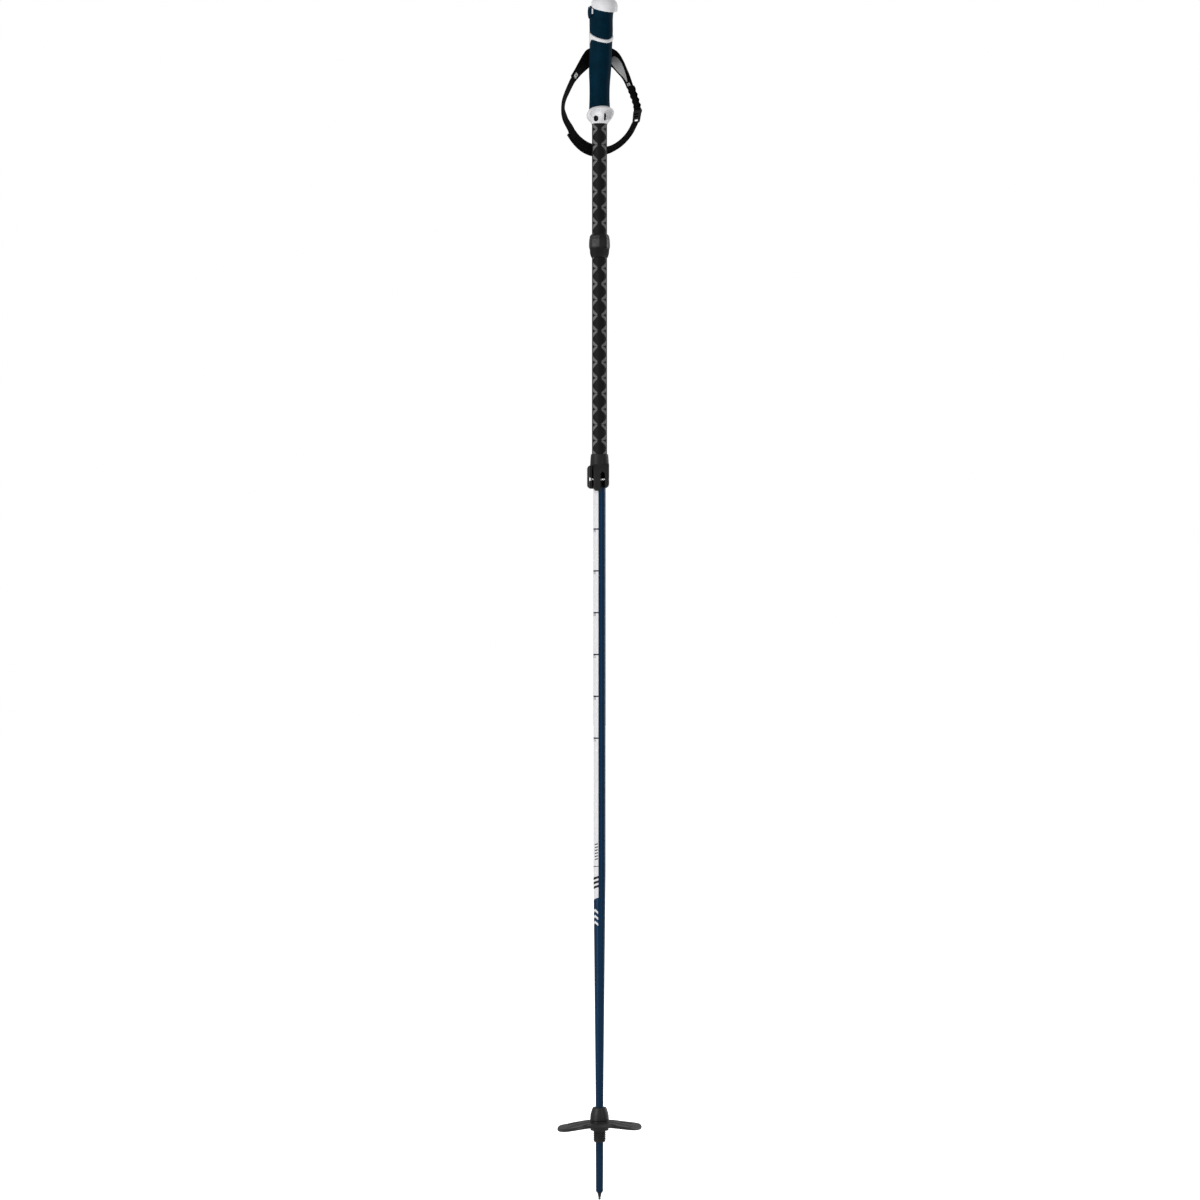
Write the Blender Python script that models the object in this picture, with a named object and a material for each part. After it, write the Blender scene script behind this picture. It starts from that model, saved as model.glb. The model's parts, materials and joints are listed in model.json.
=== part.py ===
"""Telescopic ski pole, standing upright on its tip.

The script works in millimetres and hands Blender metres. Z runs up the shaft and the
origin is the flat end of the tip. The front of the grip faces -Y, and the strap hangs
behind it, on the +Y side.
"""

import math

import bmesh
import bpy
from mathutils import Matrix, Vector

MM = 0.001
GAP = 0.3
ROUND = 28

# Driving dimensions, in millimetres
POLE_LENGTH = 1450.0
UPPER_TUBE_R = 8.4
UPPER_TUBE_BORE_R = 7.7
UPPER_TUBE_BOTTOM_Z = 884.8
UPPER_TUBE_TOP_Z = 1405.0
LOWER_TUBE_R = 7.45
LOWER_TUBE_BORE_R = 6.45
LOWER_TUBE_TOP_Z = 1045.0
LOWER_END_R = 4.7
TIP_END_R = 4.35
TAPER_TOP_Z = 398.0
TAPER_FOOT_Z = 126.0
SHAFT_END_Z = 9.3
SLEEVE_BORE_R = 8.7
SLEEVE_R = 9.22
BUSH_R = 7.55
BASKET_BORE_R = 7.95
BASKET_HUB_TOP_Z = 95.7
BASKET_LOBE_ANGLE = -52.0
GRIP_BORE_R = 10.6
GRIP_CORE_R = 10.3
POCKET_RIB_X = -1.5
CAP_SLOPE = 0.36
CAP_FOOT_Z = 1436.9
CAP_FORWARD = 16.0
HEAD_BACK_Z = 1443.6
STRAP_PIVOT = Vector((0.0, 15.0, 1398.5))
LOCK_TURN = math.radians(-22.0)
LEVER_PIVOT = Vector((-11.0, -13.0, 0.0))
SCREW_AXIS_Z = 870.4

FINISHES = {
    "navy_paint": ((0.006, 0.032, 0.093), 0.3, 0.1),
    "black_sleeve": ((0.012, 0.012, 0.013), 0.45, 0.0),
    "navy_rubber": ((0.002, 0.018, 0.042), 0.6, 0.0),
    "white_plastic": ((0.86, 0.86, 0.88), 0.35, 0.0),
    "black_rubber": ((0.013, 0.013, 0.014), 0.6, 0.0),
    "charcoal_plastic": ((0.03, 0.03, 0.032), 0.5, 0.0),
    "grey_plastic": ((0.075, 0.075, 0.078), 0.55, 0.0),
    "aluminium": ((0.6, 0.6, 0.62), 0.35, 1.0),
    "steel": ((0.45, 0.46, 0.48), 0.3, 1.0),
    "dark_steel": ((0.05, 0.05, 0.055), 0.35, 1.0),
    "carbide": ((0.2, 0.2, 0.21), 0.35, 1.0),
    "black_webbing": ((0.008, 0.008, 0.009), 0.85, 0.0),
    "silver_lining": ((0.4, 0.4, 0.41), 0.6, 0.0),
}


# ---- helpers -----------------------------------------------------------------------

def finish_material(name):
    """Principled material of one finish, made once."""
    material = bpy.data.materials.get(name) or bpy.data.materials.new(name)
    colour, roughness, metallic = FINISHES[name]
    material.use_nodes = True
    shader = material.node_tree.nodes["Principled BSDF"]
    shader.inputs["Base Color"].default_value = (*colour, 1.0)
    shader.inputs["Roughness"].default_value = roughness
    shader.inputs["Metallic"].default_value = metallic
    return material


def empty(name, location, turn=0.0, parent=None):
    """Guide empty at a joint, turned about Z."""
    guide = bpy.data.objects.new(name, None)
    bpy.context.collection.objects.link(guide)
    guide.parent = parent
    guide.location = Vector(location) * MM
    guide.rotation_euler = (0.0, 0.0, turn)
    return guide


def add_object(name, bm, finish, origin=(0.0, 0.0, 0.0), parent=None):
    """Object from a mesh drawn in the parent's frame, with its origin at the given point."""
    bmesh.ops.recalc_face_normals(bm, faces=bm.faces)
    bmesh.ops.translate(bm, vec=-Vector(origin), verts=bm.verts)
    bmesh.ops.scale(bm, vec=(MM, MM, MM), verts=bm.verts)
    mesh = bpy.data.meshes.new(name)
    bm.to_mesh(mesh)
    bm.free()
    mesh.materials.append(finish_material(finish))
    mesh.shade_smooth()
    mesh.set_sharp_from_angle(angle=math.radians(35.0))
    obj = bpy.data.objects.new(name, mesh)
    bpy.context.collection.objects.link(obj)
    obj.parent = parent
    obj.location = Vector(origin) * MM
    return obj


def boolean(target, bm, operation="DIFFERENCE"):
    """Cut or join a hidden guide solid, drawn in the target's parent frame."""
    guide = add_object(target.name + "_guide", bm, "steel", parent=target.parent)
    guide.hide_render = True
    guide.display_type = "WIRE"
    modifier = target.modifiers.new(operation.lower(), "BOOLEAN")
    modifier.operation = operation
    modifier.solver = "EXACT"
    modifier.object = guide


def loft(rings, cyclic=False):
    """Skin through rings of equal point counts, with its ends capped or, if cyclic, joined."""
    bm = bmesh.new()
    loops = [[bm.verts.new(point) for point in ring] for ring in rings]
    steps = list(zip(loops, loops[1:]))
    if cyclic:
        steps.append((loops[-1], loops[0]))
    for lower, upper in steps:
        for i in range(len(lower)):
            j = (i + 1) % len(lower)
            bm.faces.new((lower[i], lower[j], upper[j], upper[i]))
    if not cyclic:
        bm.faces.new(loops[0])
        bm.faces.new(loops[-1])
    return bm


def turned(profile, segments=ROUND):
    """Outline of (radius, height) points spun about Z; it closes on itself or on the axis."""
    bm = bmesh.new()
    verts = [bm.verts.new((radius, 0.0, z)) for radius, z in profile]
    edges = [bm.edges.new(pair) for pair in zip(verts, verts[1:])]
    if profile[0][0] > 0.0:
        edges.append(bm.edges.new((verts[-1], verts[0])))
    bmesh.ops.spin(bm, geom=verts + edges, cent=(0, 0, 0), axis=(0, 0, 1),
                   angle=math.tau, steps=segments, use_merge=True)
    bmesh.ops.remove_doubles(bm, verts=bm.verts, dist=0.0005)
    return bm


def tube(bore, radius, bottom, top):
    """Plain tube about Z."""
    return turned([(bore, bottom), (radius, bottom), (radius, top), (bore, top)])


def ellipse(z, a, b, forward=0.0, slope=0.0, segments=ROUND):
    """Ring of half-widths a in X and b in Y, pushed forward (-Y), tilted by slope in Y."""
    ring = []
    for i in range(segments):
        angle = math.tau * i / segments
        y = b * math.sin(angle)
        ring.append(Vector((a * math.cos(angle), y - forward, z + slope * y)))
    return ring


def arc(x, y, radius, start, end, steps):
    """Points along a circle between two angles in degrees."""
    angles = [math.radians(start + (end - start) * i / steps) for i in range(steps + 1)]
    return [(x + radius * math.cos(angle), y + radius * math.sin(angle)) for angle in angles]


def extruded(outline, bottom, top):
    """Plate of an (x, y) outline between two heights."""
    return loft([[Vector((x, y, z)) for x, y in outline] for z in (bottom, top)])


def box(low, high):
    """Block between two corners."""
    outline = [(low[0], low[1]), (high[0], low[1]), (high[0], high[1]), (low[0], high[1])]
    return extruded(outline, low[2], high[2])


def along_x(bm, y=0.0, z=0.0):
    """Turn a mesh drawn about Z to lie about X, through the given y and z."""
    bmesh.ops.rotate(bm, cent=(0, 0, 0), matrix=Matrix.Rotation(math.pi / 2, 3, "Y"), verts=bm.verts)
    bmesh.ops.translate(bm, vec=(0.0, y, z), verts=bm.verts)
    return bm


def band_frames(stations):
    """Centre, half-width vector and face normal at each station (x, y, z, width, roll).

    The path runs in the XZ plane, clockwise round the strap's loop as seen from the front.
    At roll 0 the width points out of the loop; at 90 the outer edge has turned to the
    front (-Y). The normal is the band's front or inner face.
    """
    points = [Vector(station[:3]) for station in stations]
    frames = []
    for i, (point, station) in enumerate(zip(points, stations)):
        along = (points[min(i + 1, len(points) - 1)] - points[max(i - 1, 0)]).normalized()
        outward = Vector((-along.z, 0.0, along.x)).normalized()
        roll = math.radians(station[4])
        across = (outward * math.cos(roll) - Vector((0.0, math.sin(roll), 0.0))) * station[3] / 2
        frames.append((point, across, along.cross(across).normalized()))
    return frames


def ribbon(stations, thickness):
    """Flat band swept through the stations."""
    sections = []
    for point, across, normal in band_frames(stations):
        lift = normal * thickness / 2
        sections.append([point - across - lift, point + across - lift,
                         point + across + lift, point - across + lift])
    return loft(sections)


def lifted(stations, height, widths):
    """The path's last stations, one for each new width, moved along its face normal."""
    count = len(widths)
    return [(*(point + normal * height), width, station[4])
            for (point, _, normal), station, width
            in zip(band_frames(stations)[-count:], stations[-count:], widths)]


def smooth_stations(stations, steps=3):
    """Stations read from a smooth curve (Catmull-Rom) through the given ones."""
    last = len(stations) - 1
    result = []
    for i in range(last):
        p0, p1, p2, p3 = (Vector(stations[min(max(k, 0), last)]) for k in (i - 1, i, i + 1, i + 2))
        for step in range(steps):
            t = step / steps
            result.append(0.5 * (2 * p1 + (p2 - p0) * t + (2 * p0 - 5 * p1 + 4 * p2 - p3) * t ** 2
                                 + (3 * p1 - p0 - 3 * p2 + p3) * t ** 3))
    result.append(Vector(stations[last]))
    return result


# ---- tip, lower shaft and basket ----------------------------------------------------

def build_tip():
    """Carbide point in its steel holder, whose stem goes up the end of the shaft."""
    add_object("carbide_tip", turned([(0, 0), (1.2, 0), (1.6, 0.8), (1.6, 3.0), (0, 3.0)]), "carbide")
    holder = [(0, 3.3), (1.4, 3.3), (1.4, 4.4), (2.3, 6.7), (3.2, SHAFT_END_Z - GAP),
              (2.7, SHAFT_END_Z - GAP), (2.7, 40.0), (0, 40.0)]
    add_object("tip_holder", turned(holder), "dark_steel")


def build_lower_shaft():
    """Tapered tube, and the bush that guides it inside the upper tube."""
    shaft = [(3.6, SHAFT_END_Z), (TIP_END_R, SHAFT_END_Z + 1.2), (LOWER_END_R, 83.0),
             (LOWER_END_R, TAPER_FOOT_Z), (LOWER_TUBE_R, TAPER_TOP_Z), (LOWER_TUBE_R, LOWER_TUBE_TOP_Z),
             (LOWER_TUBE_BORE_R, LOWER_TUBE_TOP_Z), (LOWER_TUBE_BORE_R, TAPER_TOP_Z),
             (3.5, TAPER_FOOT_Z), (3.0, 60.0), (3.0, SHAFT_END_Z)]
    add_object("lower_shaft", turned(shaft), "navy_paint")
    spigot_r = LOWER_TUBE_BORE_R - GAP
    bush = [(4.5, 1025.0), (spigot_r, 1025.0), (spigot_r, LOWER_TUBE_TOP_Z + GAP),
            (BUSH_R, LOWER_TUBE_TOP_Z + GAP), (BUSH_R, 1056.0), (6.8, 1057.0), (4.5, 1057.0)]
    add_object("guide_bush", turned(bush), "grey_plastic")


def build_thread_sleeve():
    """Collar fixed on the shaft: a stop cone above the basket and a screw thread below it."""
    bore, root, crest, pitch = LOWER_END_R + GAP, 6.9, 7.65, 2.4
    outline = [(bore, 69.7), (6.2, 69.7), (root, 71.0)]
    for turn in range(5):
        z = 71.0 + turn * pitch
        outline += [(crest, z + 0.7), (crest, z + 1.3), (root, z + 2.0)]
        if turn < 4:
            outline.append((root, z + pitch))
    outline += [(crest, 83.6), (crest, 96.0), (11.5, 96.0), (11.3, 99.2), (10.95, 102.8),
                (10.05, 106.4), (8.7, 110.1), (8.2, 112.0), (bore, 112.0)]
    add_object("thread_sleeve", turned(outline), "grey_plastic")


def basket_radius(angle):
    """Outline of the basket: three lobes with a shallow notch between each pair."""
    turn = math.degrees(angle) - BASKET_LOBE_ANGLE
    from_lobe = abs((turn + 60.0) % 120.0 - 60.0)
    lobe_r, notch_r = 51.5, 43.0
    if from_lobe < 41.0:
        return lobe_r - 2.5 * (from_lobe / 41.0) ** 4
    fade = (from_lobe - 41.0) / 19.0
    return lobe_r - 2.5 - (lobe_r - 2.5 - notch_r) * math.sin(fade * math.pi / 2)


def build_basket():
    """Dish on a hub, higher at the front, with three drooping lobes and two slots in each."""
    segments, hub_r, hub_foot_z = 72, 11.5, 84.0
    root_z, rim_z, thickness, lip = 94.8, 91.4, 2.0, 1.4
    front_rise, left_rise, droop = 0.124, 0.023, 5.0
    angles = [math.tau * i / segments for i in range(segments)]

    def ring(share, drop):
        """Ring of the web: share 0 at the hub, 1 at the outline."""
        points = []
        for angle in angles:
            radius = hub_r + (basket_radius(angle) - hub_r) * share
            x, y = radius * math.cos(angle), radius * math.sin(angle)
            lobe = 0.5 + 0.5 * math.cos(3.0 * (angle - math.radians(BASKET_LOBE_ANGLE)))
            z = root_z - (root_z - rim_z) * share ** 1.2 - drop
            z -= (front_rise * y + left_rise * x) * share + droop * lobe * share ** 2
            points.append(Vector((x, y, z)))
        return points

    def circle(radius, z):
        """Round ring of the hub."""
        return [Vector((radius * math.cos(angle), radius * math.sin(angle), z)) for angle in angles]

    shares = (0.0, 0.3, 0.6, 0.85, 1.0)
    top = [ring(share, 0.0) for share in shares]
    bottom = [ring(share, thickness + lip * (share == 1.0)) for share in reversed(shares)]
    rings = [circle(BASKET_BORE_R, BASKET_HUB_TOP_Z), circle(hub_r, BASKET_HUB_TOP_Z)]
    rings += top + bottom
    rings += [circle(hub_r - 0.6, hub_foot_z), circle(BASKET_BORE_R, hub_foot_z)]
    basket = add_object("basket", loft(rings, cyclic=True), "grey_plastic")

    slots = bmesh.new()
    for lobe in range(3):
        for side in (-1, 1):
            angle = math.radians(120.0 * lobe + BASKET_LOBE_ANGLE + side * 29.0)
            outline = arc(27.5, 0.0, 3.2, 90, 270, 4) + arc(37.5, 0.0, 2.4, -90, 90, 4)
            slot = extruded(outline, 76.0, 100.0)
            bmesh.ops.rotate(slot, cent=(0, 0, 0), matrix=Matrix.Rotation(angle, 3, "Z"), verts=slot.verts)
            copy = bpy.data.meshes.new("slot")
            slot.to_mesh(copy)
            slots.from_mesh(copy)
            slot.free()
    boolean(basket, slots)


# ---- upper shaft --------------------------------------------------------------------

def build_upper_shaft():
    """Upper tube, the two black sleeves on it and the rubber collar between them."""
    add_object("upper_shaft", tube(UPPER_TUBE_BORE_R, UPPER_TUBE_R, UPPER_TUBE_BOTTOM_Z,
                                   UPPER_TUBE_TOP_Z), "aluminium")
    add_object("shaft_sleeve_lower", tube(SLEEVE_BORE_R, SLEEVE_R, 901.6, 1138.9), "black_sleeve")
    add_object("shaft_sleeve_upper", tube(SLEEVE_BORE_R, SLEEVE_R, 1167.3, 1300.0), "black_sleeve")
    collar = [(SLEEVE_BORE_R, 1139.2), (10.4, 1139.2), (11.67, 1144.0), (11.87, 1148.0),
              (11.6, 1150.5), (12.15, 1153.0), (12.05, 1158.0), (11.7, 1162.0), (10.6, 1166.0),
              (10.2, 1167.0), (SLEEVE_BORE_R, 1167.0)]
    add_object("sleeve_collar", turned(collar, 16), "black_rubber")


# ---- length lock --------------------------------------------------------------------

def build_lock():
    """Cam lever clamp; its frame is turned so that the ears' slot faces front left."""
    frame = empty("lock_frame", (0, 0, 0), LOCK_TURN)
    screw_r, ear_front = 1.5, -16.5

    collar = [(0, 858.5), (11.0, 858.5), (11.6, 862.0), (11.6, 884.0), (11.3, 889.5),
              (11.07, 894.0), (10.72, 898.5), (10.3, 901.3), (0, 901.3)]
    clamp = add_object("clamp_body", turned(collar), "charcoal_plastic", parent=frame)
    ear_faces = ((ear_front, 1.2, 881.0), (ear_front + 1.2, 0.0, 883.0), (-11.5, 0.0, 888.0),
                 (-4.0, 0.0, 890.0))
    rings = []
    for y, inset, top in ear_faces:
        outline = [(-7.3 + inset, top), (-7.3 + inset, 859.0), (-4.8, 856.8 + inset), (1.2, 856.8 + inset),
                   (2.0, 861.3 + inset), (10.2, 861.3 + inset), (11.6 - inset, 863.0), (11.6 - inset, top)]
        rings.append([Vector((x, y, z)) for x, z in outline])
    boolean(clamp, loft(rings), "UNION")
    boolean(clamp, turned([(0, 850.0), (LOWER_TUBE_R + GAP, 850.0), (LOWER_TUBE_R + GAP, 884.5),
                           (UPPER_TUBE_R + GAP, 884.5), (UPPER_TUBE_R + GAP, 910.0), (0, 910.0)]))
    slot = [(1.2, 850.0), (6.6, 850.0), (6.6, 877.0), (3.9, 880.5), (1.2, 877.0)]
    boolean(clamp, loft([[Vector((x, y, z)) for x, z in slot] for y in (-20.0, -3.0)]))
    hole = [(0, -9.0), (screw_r + GAP, -9.0), (screw_r + GAP, 9.4), (2.5, 9.4), (2.5, 14.0), (0, 14.0)]
    boolean(clamp, along_x(turned(hole, 16), LEVER_PIVOT.y, SCREW_AXIS_Z))

    barrel = [(0, 860.5), (1.7, 860.5), (1.7, 886.0), (0, 886.0)]
    bm = turned(barrel, 16)
    bmesh.ops.translate(bm, vec=LEVER_PIVOT, verts=bm.verts)
    add_object("lever_barrel", bm, "dark_steel", parent=frame)

    screw = [(0, -9.0), (screw_r - 0.3, -9.0), (screw_r, -8.6), (screw_r, 9.7), (2.2, 9.7),
             (2.2, 11.1), (2.0, 11.4), (0, 11.4)]
    tension_screw = add_object("tension_screw", along_x(turned(screw, 16), LEVER_PIVOT.y, SCREW_AXIS_Z),
                               "steel", origin=(0, LEVER_PIVOT.y, SCREW_AXIS_Z), parent=frame)
    socket = turned([(0, 10.3), (1.2, 10.3), (1.2, 13.0), (0, 13.0)], 6)
    boolean(tension_screw, along_x(socket, LEVER_PIVOT.y, SCREW_AXIS_Z))
    build_lever(frame)


def build_lever(frame):
    """Lever: a cam nose forked round the screw, and an arm that wraps the clamp's left side."""
    pivot = LEVER_PIVOT
    nose = arc(pivot.x, pivot.y, 3.1, 20, -170, 8)
    outside = arc(0, 0, 15.1, 190, 128, 7)
    inside = arc(0, 0, 12.0, 125, 205, 8)
    lever = add_object("lock_lever", extruded(nose + outside + inside, 859.8, 887.2),
                       "charcoal_plastic", origin=pivot, parent=frame)
    fork = box((-17.0, -18.0, SCREW_AXIS_Z - 1.9), (-6.0, pivot.y + 1.9, SCREW_AXIS_Z + 1.9))
    boolean(lever, fork)
    bore = turned([(0, 850.0), (2.0, 850.0), (2.0, 890.0), (0, 890.0)], 16)
    bmesh.ops.translate(bore, vec=pivot, verts=bore.verts)
    boolean(lever, bore)


# ---- grip ---------------------------------------------------------------------------

def build_grip_flange():
    """White hand stop under the grip, hollowed by two front pockets with a rib between them."""
    bore = UPPER_TUBE_R + 0.4
    sections = [(1300.3, 9.7, 9.7, 0.0, 0.0), (1302.5, 10.8, 11.2, 0.4, 0.0),
                (1306.5, 14.0, 15.0, 1.6, -0.15), (1310.5, 16.2, 17.0, 2.5, -0.28),
                (1313.5, 16.3, 17.1, 2.5, -0.28), (1316.0, 14.7, 15.6, 1.5, -0.24),
                (1318.2, 12.9, 14.0, 0.3, -0.2)]
    rings = [ellipse(1300.3, bore, bore)]
    rings += [ellipse(*section) for section in sections]
    rings.append(ellipse(1318.2, bore, bore, slope=-0.2))
    flange = add_object("grip_flange", loft(rings, cyclic=True), "white_plastic")
    pockets = bmesh.new()
    for side in (-1, 1):
        place = Matrix.Translation((POCKET_RIB_X + side * 8.5, -15.8, 1310.2))
        place = place @ Matrix.Diagonal((6.4, 9.4, 6.2, 1.0))
        bmesh.ops.create_uvsphere(pockets, u_segments=20, v_segments=12, radius=1.0, matrix=place)
    boolean(flange, pockets)


def ring_seam(y, height):
    """Height of the seam under the grip's ring: two slants that meet in a rounded ridge."""
    front, back, rounding = 1403.6 + 0.45 * y, 1396.0 - 0.8 * y, 2.0
    return (front + back) / 2 - math.hypot((front - back) / 2, rounding) + rounding / 2 + height


def on_seam(ring, height):
    """Move a ring's points up or down to the seam, plus a height."""
    return [Vector((point.x, point.y, ring_seam(point.y, height))) for point in ring]


def raised_right(rings):
    """Raise the right-hand side of rings near the seam, where the white ring climbs."""
    for ring in rings:
        for point in ring:
            share = min(1.0, max(0.0, point.x / 13.0))
            near = math.exp(-((point.z - 1401.0) / 10.0) ** 2)
            point.z += 2.9 * near * share * share * (3.0 - 2.0 * share)
    return rings


def build_grip():
    """Moulded core, the two rubber covers on it and the white ring between them."""
    core = [ellipse(1318.8, UPPER_TUBE_R + GAP, UPPER_TUBE_R + GAP, slope=-0.2),
            ellipse(1318.8, GRIP_CORE_R, GRIP_CORE_R, slope=-0.2),
            ellipse(1433.8, GRIP_CORE_R, GRIP_CORE_R)]
    bore_end = ellipse(1405.5, UPPER_TUBE_R + GAP, UPPER_TUBE_R + GAP)
    bm = loft([bore_end] + core)
    add_object("grip_core", bm, "white_plastic")

    body = [(1318.5, 12.7, 13.8, 0.0, -0.2), (1324.2, 12.3, 13.5, 0.0, -0.1),
            (1331.4, 12.0, 13.4, 0.0, 0.0), (1341.1, 12.0, 13.4, 0.2, 0.0),
            (1350.8, 12.3, 13.9, 0.6, 0.0), (1360.5, 12.9, 14.8, 1.2, 0.0),
            (1370.1, 13.2, 15.4, 2.2, 0.05), (1379.8, 13.1, 15.8, 3.2, 0.15),
            (1388.5, 12.9, 16.2, 4.2, 0.2)]
    bore_ring = ellipse(0.0, GRIP_BORE_R, GRIP_BORE_R)
    top = ellipse(0.0, 13.1, 16.8, 5.2)
    rings = [ellipse(1318.5, GRIP_BORE_R, GRIP_BORE_R, slope=-0.2)]
    rings += [ellipse(*section) for section in body]
    for point in rings[-1]:
        point.z = min(point.z, ring_seam(point.y, -2.0))
    rings += [on_seam(top, 0.0), on_seam(bore_ring, 0.0)]
    add_object("grip_body_cover", loft(raised_right(rings), cyclic=True), "navy_rubber")

    band = [(1406.6, 14.2, 17.8, 5.5, 0.5), (1407.9, 13.3, 17.3, 5.4, 0.52)]
    seam_gap, edge_height = 1.3, 2.2
    rings = [on_seam(bore_ring, seam_gap), on_seam(ellipse(0.0, 13.3, 17.1, 5.35), seam_gap),
             on_seam(ellipse(0.0, 14.2, 17.8, 5.5), edge_height)]
    rings += [ellipse(*section) for section in band]
    rings.append(ellipse(1410.6, GRIP_BORE_R, GRIP_BORE_R, slope=0.52))
    add_object("grip_ring", loft(raised_right(rings), cyclic=True), "white_plastic")

    head = [(1408.2, 13.5, 17.3, 5.45, 0.52), (1414.6, 13.6, 17.2, 5.4, 0.3),
            (1424.5, 13.6, 17.2, 5.2, 0.1), (1431.8, 13.6, 17.8, 5.8, 0.15),
            (CAP_FOOT_Z + CAP_SLOPE * (CAP_FORWARD - 7.5) - GAP - 0.1, 13.8, 19.5, 7.5, CAP_SLOPE)]
    rings = [ellipse(1434.2, GRIP_BORE_R, GRIP_BORE_R), ellipse(1410.9, GRIP_BORE_R, GRIP_BORE_R, slope=0.52)]
    rings += [ellipse(*section) for section in head]
    for point in rings[-1]:
        point.z = min(point.z, HEAD_BACK_Z)
    add_object("grip_head_cover", loft(raised_right(rings)), "navy_rubber")


def head_band(offsets, bottom, top, start, end, steps):
    """Strip on the outside of the grip's head that stays below the cap's slanted foot.

    The angles are counted anticlockwise from the right-hand side; the back is at 90.
    """
    sections = []
    for i in range(steps + 1):
        angle = math.radians(start + (end - start) * i / steps)
        across, depth = math.cos(angle), math.sin(angle)
        y_foot = 18.7 * depth - 6.7
        high = min(top, CAP_FOOT_Z + CAP_SLOPE * (y_foot + CAP_FORWARD) - 1.2)
        section = []
        for z, offset in ((bottom, offsets[0]), (bottom, offsets[1]), (high, offsets[1]), (high, offsets[0])):
            section.append(Vector(((13.75 + offset) * across, (18.7 + offset) * depth - 6.7, z)))
        sections.append(section)
    return loft(sections)


def build_grip_top():
    """White cap that leans forward, and the hook with its white inlay behind the head."""
    sections = [(CAP_FOOT_Z, 14.2, 18.8, CAP_FORWARD, CAP_SLOPE), (1439.2, 15.0, 19.6, CAP_FORWARD, 0.34),
                (1443.0, 15.0, 19.4, CAP_FORWARD, 0.26), (1446.6, 13.8, 17.8, 15.5, 0.16),
                (1449.0, 10.4, 13.4, 14.5, 0.06), (POLE_LENGTH, 5.0, 7.0, 13.0, 0.0)]
    add_object("grip_cap", loft([ellipse(*section) for section in sections]), "white_plastic")
    add_object("head_inlay", head_band((0.35, 0.95), 1431.0, 1441.0, 76, 199, 9), "white_plastic")
    add_object("riser_hook", head_band((1.25, 2.3), 1428.4, 1442.2, 60, 191, 10), "black_rubber")


# ---- strap --------------------------------------------------------------------------

def build_strap_anchor():
    """White bracket on the back of the grip, with the cross pin that carries the strap."""
    y, z = STRAP_PIVOT.y, STRAP_PIVOT.z
    outline = [(12.4, 1416.5), (12.4, z)] + arc(y, z, 2.6, 180, 360, 8) + [(y + 2.6, 1412.5), (15.2, 1416.5)]
    bracket = loft([[Vector((x, py, pz)) for py, pz in outline] for x in (-6.0, 6.0)])
    anchor = add_object("strap_anchor", bracket, "white_plastic")
    boolean(anchor, box((-3.5, 10.0, 1390.0), (3.5, 20.0, 1411.0)))
    boolean(anchor, along_x(turned([(0, -9.0), (1.5, -9.0), (1.5, 9.0), (0, 9.0)], 16), y, z))
    pin = [(0, -6.2), (1.2, -6.2), (1.2, 6.2), (0, 6.2)]
    add_object("strap_pin", along_x(turned(pin, 12), y, z), "steel")


def strap_piece(name, stations, thickness, finish="black_webbing", steps=3):
    """Band of the strap, with its origin on the strap's pivot."""
    bm = ribbon(smooth_stations(stations, steps), thickness)
    return add_object(name, bm, finish, origin=STRAP_PIVOT)


def on_depth(stations, y_start, y_end):
    """Stations (x, z, width, roll), with y running evenly from one depth to another."""
    last = len(stations) - 1
    return [(x, y_start + (y_end - y_start) * i / last, z, width, roll)
            for i, (x, z, width, roll) in enumerate(stations)]


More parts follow.
